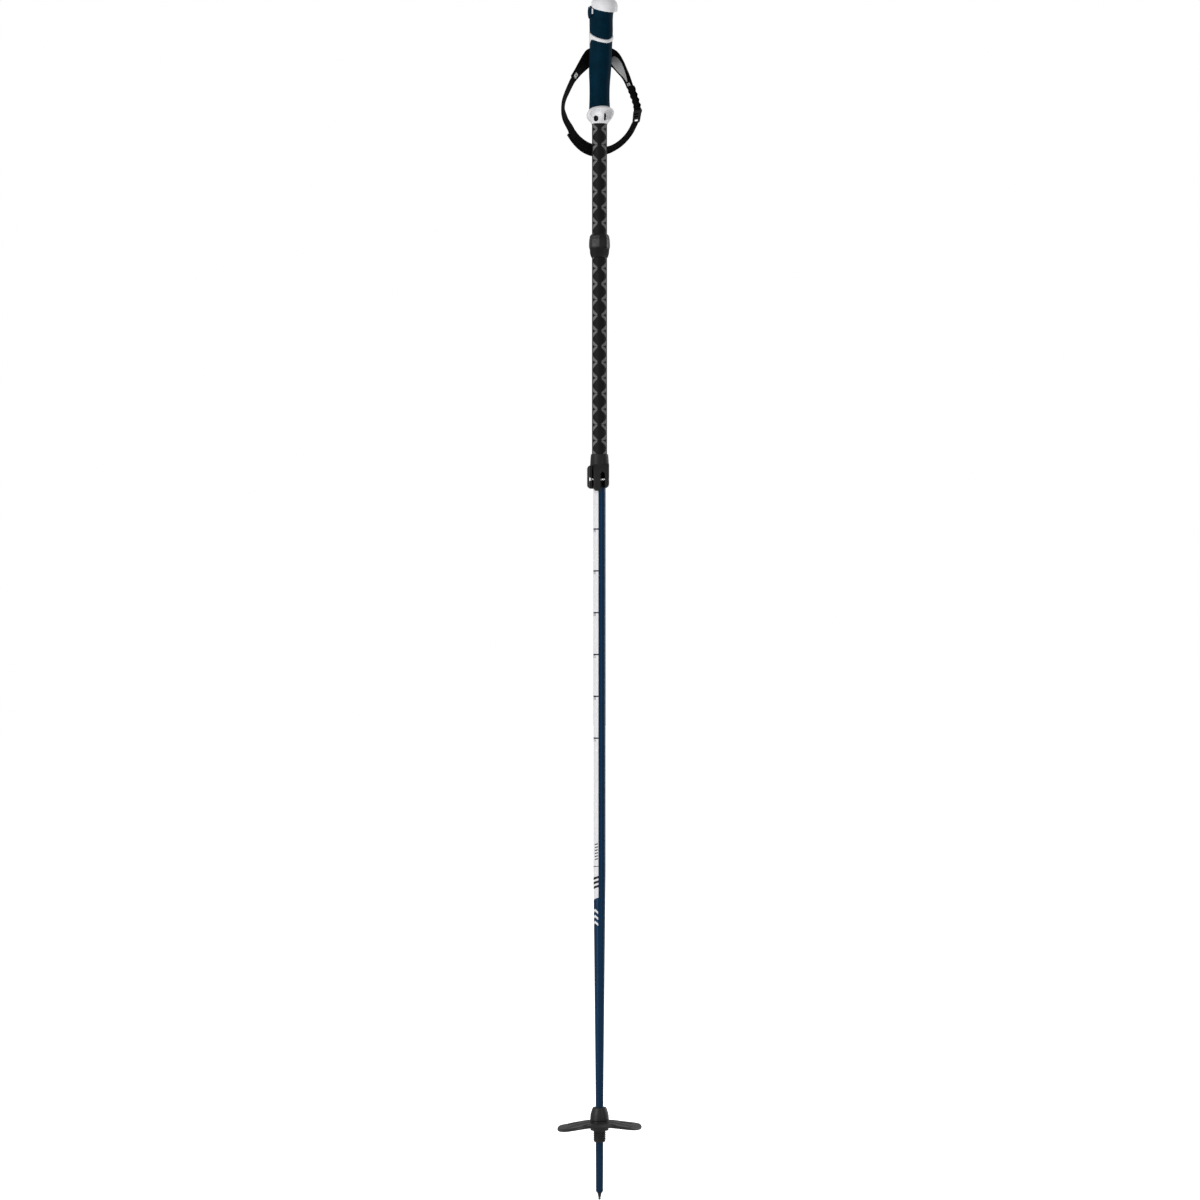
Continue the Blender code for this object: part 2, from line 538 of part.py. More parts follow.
def build_strap():
    """Hand strap: yoke behind the grip, webbing down both sides, pad behind the shaft."""
    y, z = STRAP_PIVOT.y, STRAP_PIVOT.z
    loop_r, half_width, half_thickness = 2.1, 3.2, 0.5
    tail_y = y + loop_r + 0.8
    path = [(tail_y, 1379.5), (tail_y, 1390.0), (y + loop_r, 1396.5)] + arc(y, z, loop_r, 0, 285, 14)
    sections = []
    for i, (py, pz) in enumerate(path):
        before, after = path[max(i - 1, 0)], path[min(i + 1, len(path) - 1)]
        along = Vector((0.0, after[0] - before[0], after[1] - before[1])).normalized()
        side = Vector((0.0, along.z, -along.y)) * half_thickness
        across = Vector((half_width, 0.0, 0.0))
        centre = Vector((0.0, py, pz))
        sections.append([centre - across - side, centre + across - side,
                         centre + across + side, centre - across + side])
    add_object("strap_hanger", loft(sections), "black_webbing", origin=STRAP_PIVOT)

    left_wing = [(-28.6, 15.6, 1355.6, 14.0, 45), (-23.0, 15.5, 1363.2, 15.0, 41),
                 (-17.6, 15.4, 1370.4, 16.5, 33), (-9.3, 15.2, 1380.2, 19.0, 18)]
    middle = [(-3.4, 15.2, 1384.6, 20.5, 0), (3.4, 15.2, 1384.8, 20.5, 0)]
    right_wing = [(12.0, 15.2, 1385.6, 20.5, 18), (22.0, 15.3, 1384.6, 20.0, 40),
                  (29.2, 15.3, 1378.2, 19.0, 55), (35.1, 15.3, 1370.6, 17.0, 65),
                  (40.3, 15.5, 1363.4, 15.5, 75), (44.1, 15.6, 1356.1, 14.4, 80),
                  (46.6, 15.7, 1350.0, 14.0, 81)]
    yoke, yoke_thickness, lining_thickness = left_wing + middle + right_wing, 1.8, 0.9
    lining_height = (yoke_thickness + lining_thickness) / 2 + 3 * GAP
    strap_piece("strap_yoke", yoke, yoke_thickness)
    lining = lifted([(25.2, 15.3, 1382.4, 20.0, 46)] + yoke[-5:-2] + [(41.9, 15.6, 1360.6, 15.0, 76)],
                    lining_height, (8.5, 12.5, 12.0, 8.5, 5.0))
    strap_piece("yoke_lining", lining, lining_thickness, "silver_lining")
    badge_paths = {"badge_left": [(-28.2, 15.6, 1357.0, 5.5, 44), (-25.0, 15.6, 1361.4, 5.5, 42)],
                   "badge_right": [(44.8, 15.6, 1354.4, 5.5, 80), (46.4, 15.7, 1350.5, 5.5, 80)]}
    for name, path in badge_paths.items():
        strap_piece(name, lifted(path, lining_height, (5.5, 5.5)), lining_thickness, "white_plastic", 1)

    left = [(-30.6, 1296.2, 14, 36), (-36.4, 1305.3, 14, 40), (-39.1, 1312.6, 14, 45),
            (-40.6, 1319.8, 14, 53), (-40.2, 1327.1, 14, 52), (-38.6, 1334.3, 14, 49),
            (-35.7, 1341.6, 14, 44), (-30.7, 1352.6, 14, 44)]
    strap_piece("webbing_left", on_depth(left, 17.4, 15.7), 1.4, steps=2)
    pad = [(7.4, 1270.8, 18, 32), (0.0, 1271.0, 18, 27), (-7.5, 1272.7, 18, 25),
           (-15.0, 1276.8, 18, 25), (-22.8, 1284.0, 18, 29), (-30.0, 1295.2, 18, 32)]
    strap_piece("wrist_pad", on_depth(pad, 18.0, 17.5), 2.6, steps=2)
    lower = [(53.6, 1307.4, 14, 80), (51.0, 1301.7, 14, 80), (46.8, 1294.4, 14, 77), (40.9, 1287.2, 14, 73),
             (33.6, 1280.6, 14, 68), (26.0, 1275.8, 14, 62), (17.0, 1272.2, 14, 50), (8.4, 1270.9, 14, 36)]
    strap_piece("webbing_lower", on_depth(lower, 16.9, 18.0), 1.4, steps=2)
    right = [(47.0, 1349.0, 14, 80), (49.6, 1341.6, 14, 82), (52.4, 1334.3, 14, 85),
             (54.4, 1328.0, 14, 82), (55.5, 1324.6, 14, 80)]
    webbing_right = on_depth(right, 15.7, 16.6)
    strap_piece("webbing_right", webbing_right, 1.4, steps=2)
    strap_piece("webbing_tail", lifted(webbing_right, -2.0, (13.0, 13.0, 13.0, 13.0)), 1.4, steps=2)

    buckle = strap_piece("ladder_buckle", [(56.4, 16.7, 1323.2, 15.0, 75), (54.6, 16.85, 1308.7, 15.0, 75)],
                         2.6, "charcoal_plastic", 1)
    window = [(55.7, 16.8, 1317.6, 10.0, 75), (55.3, 16.75, 1314.4, 10.0, 75)]
    boolean(buckle, ribbon(window, 12.0))


# ---- assembly -----------------------------------------------------------------------

def main():
    """Clear the scene and build the pole from its tip up."""
    for old in list(bpy.data.objects):
        bpy.data.objects.remove(old, do_unlink=True)
    build_tip()
    build_lower_shaft()
    build_thread_sleeve()
    build_basket()
    build_upper_shaft()
    build_lock()
    build_grip_flange()
    build_grip()
    build_grip_top()
    build_strap_anchor()
    build_strap()


main()
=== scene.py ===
"""Looks of a telescopic ski pole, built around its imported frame.

Every size is in millimetres and every angle in degrees unless its name says otherwise.
Meshes are written in metres, in the frame's own axes: +Z runs up the shaft, -Y is the
front of the grip and the strap hangs on the +Y side. Each sub-assembly is a class that
holds its sizes, works its surfaces out as whole arrays and dresses them in a finish.
"""

import json
import logging
import math
from dataclasses import dataclass
from enum import Enum
from typing import Callable, Dict, List, Optional, Sequence, Tuple, Union

import bpy
import numpy as np
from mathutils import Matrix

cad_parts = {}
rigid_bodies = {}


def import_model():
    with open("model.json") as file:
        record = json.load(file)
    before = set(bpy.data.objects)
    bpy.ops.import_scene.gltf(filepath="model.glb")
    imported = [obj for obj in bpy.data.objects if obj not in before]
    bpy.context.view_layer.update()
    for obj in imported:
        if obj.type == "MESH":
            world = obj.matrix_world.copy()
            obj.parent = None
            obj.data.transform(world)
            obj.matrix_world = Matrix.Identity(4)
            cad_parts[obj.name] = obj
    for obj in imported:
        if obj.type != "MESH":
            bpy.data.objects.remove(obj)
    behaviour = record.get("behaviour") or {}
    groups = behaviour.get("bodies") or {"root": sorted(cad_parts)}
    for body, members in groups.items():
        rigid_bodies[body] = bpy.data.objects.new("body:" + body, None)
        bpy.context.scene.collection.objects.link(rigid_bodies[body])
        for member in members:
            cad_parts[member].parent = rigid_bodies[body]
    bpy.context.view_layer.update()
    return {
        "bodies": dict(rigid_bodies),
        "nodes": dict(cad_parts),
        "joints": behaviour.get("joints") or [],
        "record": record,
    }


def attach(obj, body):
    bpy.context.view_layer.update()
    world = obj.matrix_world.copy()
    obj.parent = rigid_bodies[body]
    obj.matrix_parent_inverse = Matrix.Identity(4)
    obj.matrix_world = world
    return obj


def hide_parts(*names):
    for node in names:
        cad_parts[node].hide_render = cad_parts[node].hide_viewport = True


MM = 0.001
TAU = 2.0 * np.pi
MARK_STEP = 50.5
FIRST_MARK_Z = 558.2
PIN_Y = 15.0
PIN_Z = 1398.5
log = logging.getLogger("ski_pole")

Array = np.ndarray
Socket = bpy.types.NodeSocket
Feed = Union[float, Socket]
Colour = Tuple[float, float, float]
Tint = Union[Colour, Socket]


class Body(Enum):
    """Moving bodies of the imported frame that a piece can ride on."""

    UPPER = "upper"
    SLIDER = "slider"
    LOWER = "lower"
    BASKET = "basket"
    LEVER = "lever"
    SCREW = "screw"
    STRAP = "strap"


class Slot(Enum):
    """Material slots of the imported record."""

    NAVY_PAINT = "navy_paint"
    BARE_TUBE = "bare_tube"
    BLACK_SLEEVE = "black_sleeve"
    NAVY_RUBBER = "navy_rubber"
    BLACK_RUBBER = "black_rubber"
    WHITE_PLASTIC = "white_plastic"
    CHARCOAL_PLASTIC = "charcoal_plastic"
    GREY_PLASTIC = "grey_plastic"
    STEEL = "steel"
    DARK_STEEL = "dark_steel"
    CARBIDE = "carbide"
    BLACK_WEBBING = "black_webbing"
    SILVER_LINING = "silver_lining"
    WHITE_PRINT = "white_print"


# ---- curves and surfaces ------------------------------------------------------------


def smooth_curve(points: Sequence, count: int) -> Array:
    """Read a Catmull-Rom curve through points at evenly spaced parameters.

    Between P1 and P2 the point is half of 2 P1 + (P2 - P0) t + (2 P0 - 5 P1 + 4 P2 - P3) t^2
    + (3 P1 - P0 - 3 P2 + P3) t^3, with t from 0 to 1.

    Args:
        points: Rows of any width that the curve passes through.
        count: Number of rows to read.

    Returns:
        Array of count rows.
    """
    knots = np.asarray(points, float)
    last = len(knots) - 1
    s = np.linspace(0.0, last, count)
    i = np.minimum(s.astype(int), last - 1)
    t = (s - i)[:, None]
    p0, p1, p2, p3 = (knots[np.clip(i + k, 0, last)] for k in (-1, 0, 1, 2))
    return 0.5 * (2 * p1 + (p2 - p0) * t + (2 * p0 - 5 * p1 + 4 * p2 - p3) * t**2
                  + (3 * p1 - p0 - 3 * p2 + p3) * t**3)


def rounded(corners: Sequence, radius: float, steps: int = 5) -> Array:
    """Round the corners of a closed outline.

    Each corner C becomes the curve (1 - t)^2 A + 2 t (1 - t) C + t^2 B, where A and B lie a
    radius before and after it, or less on a short side.

    Args:
        corners: Corner points, in order.
        radius: Distance from a corner at which its curve starts.
        steps: Points on each corner.

    Returns:
        Array of outline points.
    """
    corner = np.asarray(corners, float)
    before = np.roll(corner, 1, axis=0) - corner
    after = np.roll(corner, -1, axis=0) - corner
    reach_before = np.linalg.norm(before, axis=1, keepdims=True)
    reach_after = np.linalg.norm(after, axis=1, keepdims=True)
    a = corner + before / reach_before * np.minimum(radius, 0.45 * reach_before)
    b = corner + after / reach_after * np.minimum(radius, 0.45 * reach_after)
    t = np.linspace(0.0, 1.0, steps)[None, :, None]
    curve = (1 - t)**2 * a[:, None] + 2 * t * (1 - t) * corner[:, None] + t**2 * b[:, None]
    return curve.reshape(-1, corner.shape[1])


def arc(x: float, y: float, radius: float, start: float, end: float, steps: int) -> List[Tuple]:
    """Points along a circle about (x, y) between two angles."""
    angle = np.radians(np.linspace(start, end, steps + 1))
    return list(zip(x + radius * np.cos(angle), y + radius * np.sin(angle)))


def smoothstep(value: Array, low: float, high: float) -> Array:
    """Share 3 t^2 - 2 t^3 of the way from low to high, held at 0 and 1 outside them."""
    t = np.clip((value - low) / (high - low), 0.0, 1.0)
    return t * t * (3.0 - 2.0 * t)


def turned_z(points: Array, angle: float) -> Array:
    """Points turned about the Z axis."""
    c, s = math.cos(math.radians(angle)), math.sin(math.radians(angle))
    return points @ np.array([[c, s, 0.0], [-s, c, 0.0], [0.0, 0.0, 1.0]])


def full_turn(count: int) -> Array:
    """Evenly spaced angles of one turn, the last of them one step short of it."""
    return np.linspace(0.0, TAU, count, endpoint=False)


def polar(radius: Array, angle: Array, z: Array) -> Array:
    """Points (r cos a, r sin a, z) on the grid that the radius, angle and height span."""
    x, y = radius * np.cos(angle), radius * np.sin(angle)
    return np.stack([x, y, z + 0.0 * x], axis=-1)


def around(profile: Sequence, segments: int) -> Array:
    """Turn a profile of (radius, height) rows about Z: x = r cos a, y = r sin a, z = height."""
    radius, height = (column[:, None] for column in np.asarray(profile, float).T)
    return polar(radius, full_turn(segments), height)


def thread(z: Array, angle: Array, pitch: float, foot: float, crest: float) -> Array:
    """Height of a screw thread, from 0 to 1.

    The phase z / pitch - angle / turn rises by one from turn to turn. Its distance from
    the nearest half is smoothed into a rounded wave.

    Args:
        z: Heights, as a column.
        angle: Angles, as a row.
        pitch: Distance between two turns.
        foot: Share of the half pitch at which a flank starts.
        crest: Share at which it ends.

    Returns:
        Grid of heights.
    """
    phase = z / pitch - angle / TAU
    return smoothstep(np.abs(2.0 * (phase % 1.0) - 1.0), foot, crest)


def squared_oval(columns: int, power: float) -> Tuple[Array, Array]:
    """Section |a|^p + |b|^p = 1, read at even angles.

    Args:
        columns: Points round the section.
        power: The exponent p; the higher it is, the squarer the section.

    Returns:
        The a and the b of each point, from -1 to 1.
    """
    angle = full_turn(columns)
    a = np.cos(angle)
    b = np.sign(np.sin(angle)) * (1.0 - np.abs(a)**power)**(1.0 / power)
    return a, np.where(np.abs(np.abs(a) - 1.0) < 1e-9, 0.0, b)


def along_x(points: Array, y: float, z: float) -> Array:
    """Lay a surface drawn about Z along X, through the given y and z."""
    return points[..., [2, 0, 1]] + np.array([0.0, y, z])


def ovals(stations: Array, segments: int = 112) -> Array:
    """Rings of a grip-like body.

    A station is (z, a, b, forward, slope), and its ring is x = a cos t, y = b sin t - forward,
    z = z + slope b sin t.

    Args:
        stations: Rows of five numbers.
        segments: Points on each ring.

    Returns:
        Grid of points, one row for each station.
    """
    t = full_turn(segments)
    z, a, b, forward, slope = (column[:, None] for column in np.asarray(stations, float).T)
    y = b * np.sin(t)
    return np.stack([a * np.cos(t), y - forward, z + slope * y], axis=-1)


def ellipsoid(centre: Sequence, half: Sequence, rows: int = 32, segments: int = 48) -> Array:
    """Rings of an ellipsoid: centre + (a cos t sin p, b sin t sin p, c cos p), poles left open.

    Args:
        centre: Its middle.
        half: Half of its size along x, y and z.
        rows: Rings between the poles.
        segments: Points on each ring.

    Returns:
        Grid of points, one row for each ring.
    """
    p = np.linspace(0.0, np.pi, rows + 2)[1:-1, None]
    t = full_turn(segments)
    ball = np.stack([np.cos(t) * np.sin(p), np.sin(t) * np.sin(p), np.cos(p) + 0.0 * t], axis=-1)
    return ball * np.asarray(half, float) + np.asarray(centre, float)


def linked(name: str, data: bpy.types.ID) -> bpy.types.Object:
    """New object that holds the data, linked to the scene.

    Args:
        name: Name of the object.
        data: Mesh, curve, light or camera that it holds.

    Returns:
        The new object.
    """
    obj = bpy.data.objects.new(name, data)
    bpy.context.collection.objects.link(obj)
    return obj


def grid_faces(rows: int, columns: int, wrap_rows: bool) -> Tuple[Array, Array]:
    """Faces of a grid whose columns run round.

    Each cell becomes a quad. Rows either join up, last to first, or end in fans of triangles
    round two more vertices, which follow the grid's own.

    Args:
        rows: Number of rows.
        columns: Number of points in a row.
        wrap_rows: True joins the last row to the first.

    Returns:
        Vertex numbers of the quads and of the fans' triangles.
    """
    index = np.arange(rows * columns).reshape(rows, columns)
    right = np.roll(index, -1, axis=1)
    cells = (index, right, np.roll(right, -1, axis=0), np.roll(index, -1, axis=0))
    used = rows if wrap_rows else rows - 1
    quads = np.stack([corner[:used] for corner in cells], axis=-1).reshape(-1, 4)
    if wrap_rows:
        return quads, np.zeros((0, 3), int)
    middle = np.full(columns, rows * columns)
    start = np.stack([middle, right[0], index[0]], axis=-1)
    end = np.stack([middle + 1, index[-1], right[-1]], axis=-1)
    return quads, np.vstack([start, end])


def skin(name: str, points: Array, wrap_rows: bool = False, uv: Optional[Array] = None,
         values: Optional[Dict[str, Array]] = None) -> bpy.types.Object:
    """Make a closed mesh object from a grid whose columns run round.

    Rows that don't join up end in caps that fan to the middle of the end row. The enclosed
    volume, summed over the faces, says whether they point outwards, and they are turned
    round if they don't.

    Args:
        name: Name of the object.
        points: (rows, columns, 3) grid in millimetres.
        wrap_rows: True joins the last row to the first.
        uv: (rows, columns + 1, 2) grid of surface coordinates, if a finish follows them.
        values: Point attributes by name, each a (rows, columns) grid.

    Returns:
        The new object, at the origin.
    """
    quads, fans = grid_faces(*points.shape[:2], wrap_rows)
    vertices = points.reshape(-1, 3)
    if not wrap_rows:
        vertices = np.vstack([vertices, points[0].mean(axis=0), points[-1].mean(axis=0)])
    triangles = np.vstack([quads[:, [0, 1, 2]], quads[:, [0, 2, 3]], fans])
    a, b, c = (vertices[triangles[:, k]] for k in range(3))
    inside_out = np.einsum("ij,ij->", a, np.cross(b, c)) < 0.0
    if inside_out:
        quads, fans = quads[:, ::-1], fans[:, ::-1]
    mesh = bpy.data.meshes.new(name)
    mesh.from_pydata((vertices * MM).tolist(), [], quads.tolist() + fans.tolist())
    if uv is not None:
        u0, u1 = uv[:, :-1], uv[:, 1:]
        corners = np.stack([u0[:-1], u1[:-1], u1[1:], u0[1:]], axis=2).reshape(-1, 4, 2)
        corners = corners[:, ::-1] if inside_out else corners
        caps = np.zeros((len(fans) * 3, 2))
        layer = mesh.uv_layers.new(name="surface")
        layer.data.foreach_set("uv", np.vstack([corners.reshape(-1, 2), caps]).ravel())
    for key, grid in (values or {}).items():
        spread = np.zeros(len(vertices))
        spread[:grid.size] = grid.ravel()
        mesh.attributes.new(key, "FLOAT", "POINT").data.foreach_set("value", spread)
    mesh.validate()
    return linked(name, mesh)


def evaluated(obj: bpy.types.Object) -> bpy.types.Mesh:
    """Read an object as its modifiers or its curve settings make it.

    Args:
        obj: A mesh or curve object.

    Returns:
        A new mesh.
    """
    bpy.context.view_layer.update()
    graph = bpy.context.evaluated_depsgraph_get()
    return bpy.data.meshes.new_from_object(obj.evaluated_get(graph), depsgraph=graph)


def corners_of(mesh: bpy.types.Mesh) -> Array:
    """Read a mesh's vertices.

    Args:
        mesh: The mesh.

    Returns:
        Array of x, y and z rows.
    """
    flat = np.zeros(len(mesh.vertices) * 3)
    mesh.vertices.foreach_get("co", flat)
    return flat.reshape(-1, 3)


def settle(obj: bpy.types.Object) -> bpy.types.Object:
    """Keep what an object's modifiers make as its own mesh, and clear them.

    Args:
        obj: Object with modifiers.

    Returns:
        The same object.
    """
    mesh = evaluated(obj)
    obj.modifiers.clear()
    obj.data = mesh
    return obj


def combine(target: bpy.types.Object, operation: str, *tools: bpy.types.Object) -> bpy.types.Object:
    """Join the tool solids to a target or cut them out of it, and remove the tools.

    Args:
        target: Solid that is changed.
        operation: UNION or DIFFERENCE.
        tools: Solids that are joined or cut out, and then removed.

    Returns:
        The target.
    """
    for tool in tools:
        modifier = target.modifiers.new(operation.lower(), "BOOLEAN")
        modifier.operation = operation
        modifier.solver = "EXACT"
        modifier.object = tool
    settle(target)
    for tool in tools:
        bpy.data.objects.remove(tool, do_unlink=True)
    return target


def soften(obj: bpy.types.Object, voxel: float, passes: int) -> bpy.types.Object:
    """Give a solid the rounded edges of a moulding: fine voxels, then a few smoothing passes.

    Args:
        obj: The solid.
        voxel: Size of a voxel in millimetres.
        passes: Number of smoothing passes.

    Returns:
        The same object.
    """
    remesh = obj.modifiers.new("voxels", "REMESH")
    remesh.mode = "VOXEL"
    remesh.voxel_size = voxel * MM
    smooth = obj.modifiers.new("rounding", "SMOOTH")
    smooth.factor = 0.5
    smooth.iterations = passes
    return settle(obj)


def prism(name: str, outline: Sequence, low: float, high: float, bevel: float = 0.0,
          axes: Tuple[int, int, int] = (0, 1, 2)) -> bpy.types.Object:
    """Extrude a closed outline, with its two end edges drawn in by a bevel.

    Args:
        name: Name of the object.
        outline: (p, q) points.
        low: Start of the extrusion along its own direction.
        high: End of the extrusion.
        bevel: Height of the drawn-in edge; the outline shrinks towards its middle by as much.
        axes: Which of (p, q, extrusion) gives x, y and z.

    Returns:
        The prism as an object.
    """
    flat = np.asarray(outline, float)
    out = flat - flat.mean(axis=0)
    shrunk = flat - out / np.maximum(np.linalg.norm(out, axis=1, keepdims=True), 1e-6) * bevel
    rows = [(low, shrunk), (low + bevel, flat), (high - bevel, flat), (high, shrunk)]
    if bevel == 0.0:
        rows = [(low, flat), (high, flat)]
    grid = np.stack([np.column_stack([ring, np.full(len(ring), level)]) for level, ring in rows])
    return skin(name, grid[..., list(axes)])


# ---- finishes -----------------------------------------------------------------------


def opaque(colour: Tint) -> Union[Tuple, Socket]:
    """A colour with full alpha; a socket stays as it is."""
    return (*colour, 1.0) if isinstance(colour, tuple) else colour


def tinted(colour: Colour, factor: float, lift: float = 0.0) -> Colour:
    """A colour times a factor plus a lift, held at 1."""
    return tuple(min(1.0, c * factor + lift) for c in colour)


class Nodes:
    """Small builder round one material's node tree."""

    def __init__(self, name: str) -> None:
        """Start a material that holds a Principled shader.

        Args:
            name: Name of the material.
        """
        self.material = bpy.data.materials.new(name)
        self.material.use_nodes = True
        self.tree = self.material.node_tree
        self.shader = self.tree.nodes["Principled BSDF"]

    def add(self, kind: str, inputs: Optional[Dict] = None, **settings: str) -> bpy.types.Node:
        """Add a shader node.

        Args:
            kind: Node type without its ShaderNode prefix.
            inputs: Socket key to a value or to the socket that feeds it.
            settings: Node properties.

        Returns:
            The new node.
        """
        node = self.tree.nodes.new("ShaderNode" + kind)
        for key, value in settings.items():
            setattr(node, key, value)
        self.feed(node, inputs or {})
        return node

    def feed(self, node: bpy.types.Node, inputs: Dict) -> None:
        """Set a node's inputs: values on their sockets, and sockets by a link.

        Args:
            node: The node.
            inputs: Socket key to a value or to the socket that feeds it.
        """
        for key, value in inputs.items():
            if isinstance(value, Socket):
                self.tree.links.new(value, node.inputs[key])
            else:
                node.inputs[key].default_value = value

    def math(self, operation: str, a: Feed, b: Feed = 0.0) -> Socket:
        """Result of one Math node."""
        return self.add("Math", {0: a, 1: b}, operation=operation).outputs[0]

    def plus(self, a: Feed, b: Feed) -> Socket:
        """Sum of a and b."""
        return self.math("ADD", a, b)

    def minus(self, a: Feed, b: Feed) -> Socket:
        """What is left of a without b."""
        return self.math("SUBTRACT", a, b)

    def times(self, a: Feed, b: Feed) -> Socket:
        """Product of a and b."""
        return self.math("MULTIPLY", a, b)

    def place(self, stretch: Sequence[float] = (1.0, 1.0, 1.0)) -> Socket:
        """Object coordinates, in millimetres times a stretch on each axis.

        Args:
            stretch: Factor on each axis.

        Returns:
            Socket of the coordinates.
        """
        scale = tuple(1000.0 * s for s in stretch)
        coords = self.add("TexCoord").outputs["Object"]
        return self.add("Mapping", {"Vector": coords, "Scale": scale}).outputs[0]

    def surface(self) -> Socket:
        """The piece's own surface coordinates, in millimetres."""
        return self.add("UVMap", uv_map="surface").outputs[0]

    def noise(self, coords: Socket, scale: float, detail: float = 3.0, rough: float = 0.55) -> Socket:
        """Noise from 0 to 1 with features of about 1 / scale."""
        inputs = {"Vector": coords, "Scale": scale, "Detail": detail, "Roughness": rough}
        return self.add("TexNoise", inputs).outputs[0]

    def cells(self, coords: Socket, scale: float) -> Socket:
        """Distance to the nearest of scattered points, for a pebbled grain."""
        return self.add("TexVoronoi", {"Vector": coords, "Scale": scale}).outputs[0]

    def span(self, value: Socket, low: float, high: float, start: float = 0.0,
             end: float = 1.0) -> Socket:
        """Map a value from low..high to start..end, held at the ends."""
        return self.add("MapRange", {0: value, 1: low, 2: high, 3: start, 4: end}).outputs[0]

    def blend(self, share: Feed, a: Tint, b: Tint) -> Socket:
        """Colour a share of the way from a to b."""
        return self.add("Mix", {0: share, 6: opaque(a), 7: opaque(b)}, data_type="RGBA").outputs[2]

    def axis(self, coords: Socket, which: str) -> Socket:
        """One component of a coordinate."""
        return self.add("SeparateXYZ", {0: coords}).outputs[which]

    def wire(self, colour: Tint, roughness: Feed, height: Optional[Socket],
             depth: float) -> bpy.types.Material:
        """Feed the shader.

        Args:
            colour: Base colour or its socket.
            roughness: Roughness or its socket.
            height: Bump height from 0 to 1, or None.
            depth: Height of the bump in millimetres.

        Returns:
            The finished material.
        """
        self.feed(self.shader, {"Base Color": opaque(colour), "Roughness": roughness})
        if height is not None:
            bump = self.add("Bump", {"Strength": 1.0, "Distance": depth * MM, "Height": height})
            self.feed(self.shader, {"Normal": bump.outputs[0]})
        return self.material


@dataclass(frozen=True)
class Finish:
    """Moulded or turned finish: a mottled colour, uneven gloss and a fine grain.

    The grain is a pebbled or brushed height field in millimetres; the mottle is a slow
    noise that darkens the colour and dulls the gloss by small shares; handling marks are
    long thin noise streaks that lighten it.
    """

    slot: Slot
    colour: Colour
    roughness: float
    metallic: float = 0.0
    specular: float = 0.5
    coat: float = 0.0
    coat_roughness: float = 0.08
    grain_scale: float = 3.0
    grain_depth: float = 0.012
    mottle: float = 0.18
    scuffs: float = 0.15
    brushed: bool = False

    def base(self, nodes: Nodes, coords: Socket) -> Tuple[Socket, Socket]:
        """Mottled colour and uneven roughness before any pattern.

        Args:
            nodes: Builder of the material.
            coords: Object coordinates in millimetres.

        Returns:
            Sockets of the colour and the roughness.
        """
        slow = nodes.noise(coords, 0.07, 4.0, 0.6)
        dark, light = tinted(self.colour, 1.0 - self.mottle), tinted(self.colour, 1.0 + 0.6 * self.mottle)
        colour = nodes.blend(nodes.span(slow, 0.3, 0.7), dark, light)
        streaks = nodes.noise(nodes.place((1.6, 1.6, 0.09)), 0.6, 5.0, 0.7)
        worn = nodes.span(streaks, 0.62, 0.78, 0.0, self.scuffs)
        colour = nodes.blend(worn, colour, tinted(self.colour, 1.5, 0.02))
        roughness = nodes.span(nodes.noise(coords, 0.35, 3.0), 0.25, 0.75,
                               self.roughness - 0.06, self.roughness + 0.08)
        return colour, roughness

    def grain(self, nodes: Nodes, coords: Socket) -> Socket:
        """Height of the fine grain, from 0 to 1.

        Args:
            nodes: Builder of the material.
            coords: Object coordinates in millimetres.

        Returns:
            Socket of the height.
        """
        if self.brushed:
            return nodes.noise(nodes.place((0.4, 0.4, 9.0)), self.grain_scale, 2.0)
        pebbles = nodes.cells(coords, self.grain_scale)
        return nodes.plus(nodes.times(pebbles, 0.7),
                          nodes.times(nodes.noise(coords, self.grain_scale * 1.7, 2.0), 0.5))

    def material(self) -> bpy.types.Material:
        """Build the node material.

        Returns:
            The finished material.
        """
        nodes = Nodes(self.slot.value)
        nodes.feed(nodes.shader, {"Metallic": self.metallic, "Specular IOR Level": self.specular,
                                  "Coat Weight": self.coat, "Coat Roughness": self.coat_roughness})
        return self.dress(nodes, nodes.place())

    def dress(self, nodes: Nodes, coords: Socket) -> bpy.types.Material:
        """Wire colour, gloss and grain; patterned finishes replace this.

        Args:
            nodes: Builder of the material.
            coords: Object coordinates in millimetres.

        Returns:
            The finished material.
        """
        colour, roughness = self.base(nodes, coords)
        return nodes.wire(colour, roughness, self.grain(nodes, coords), self.grain_depth)


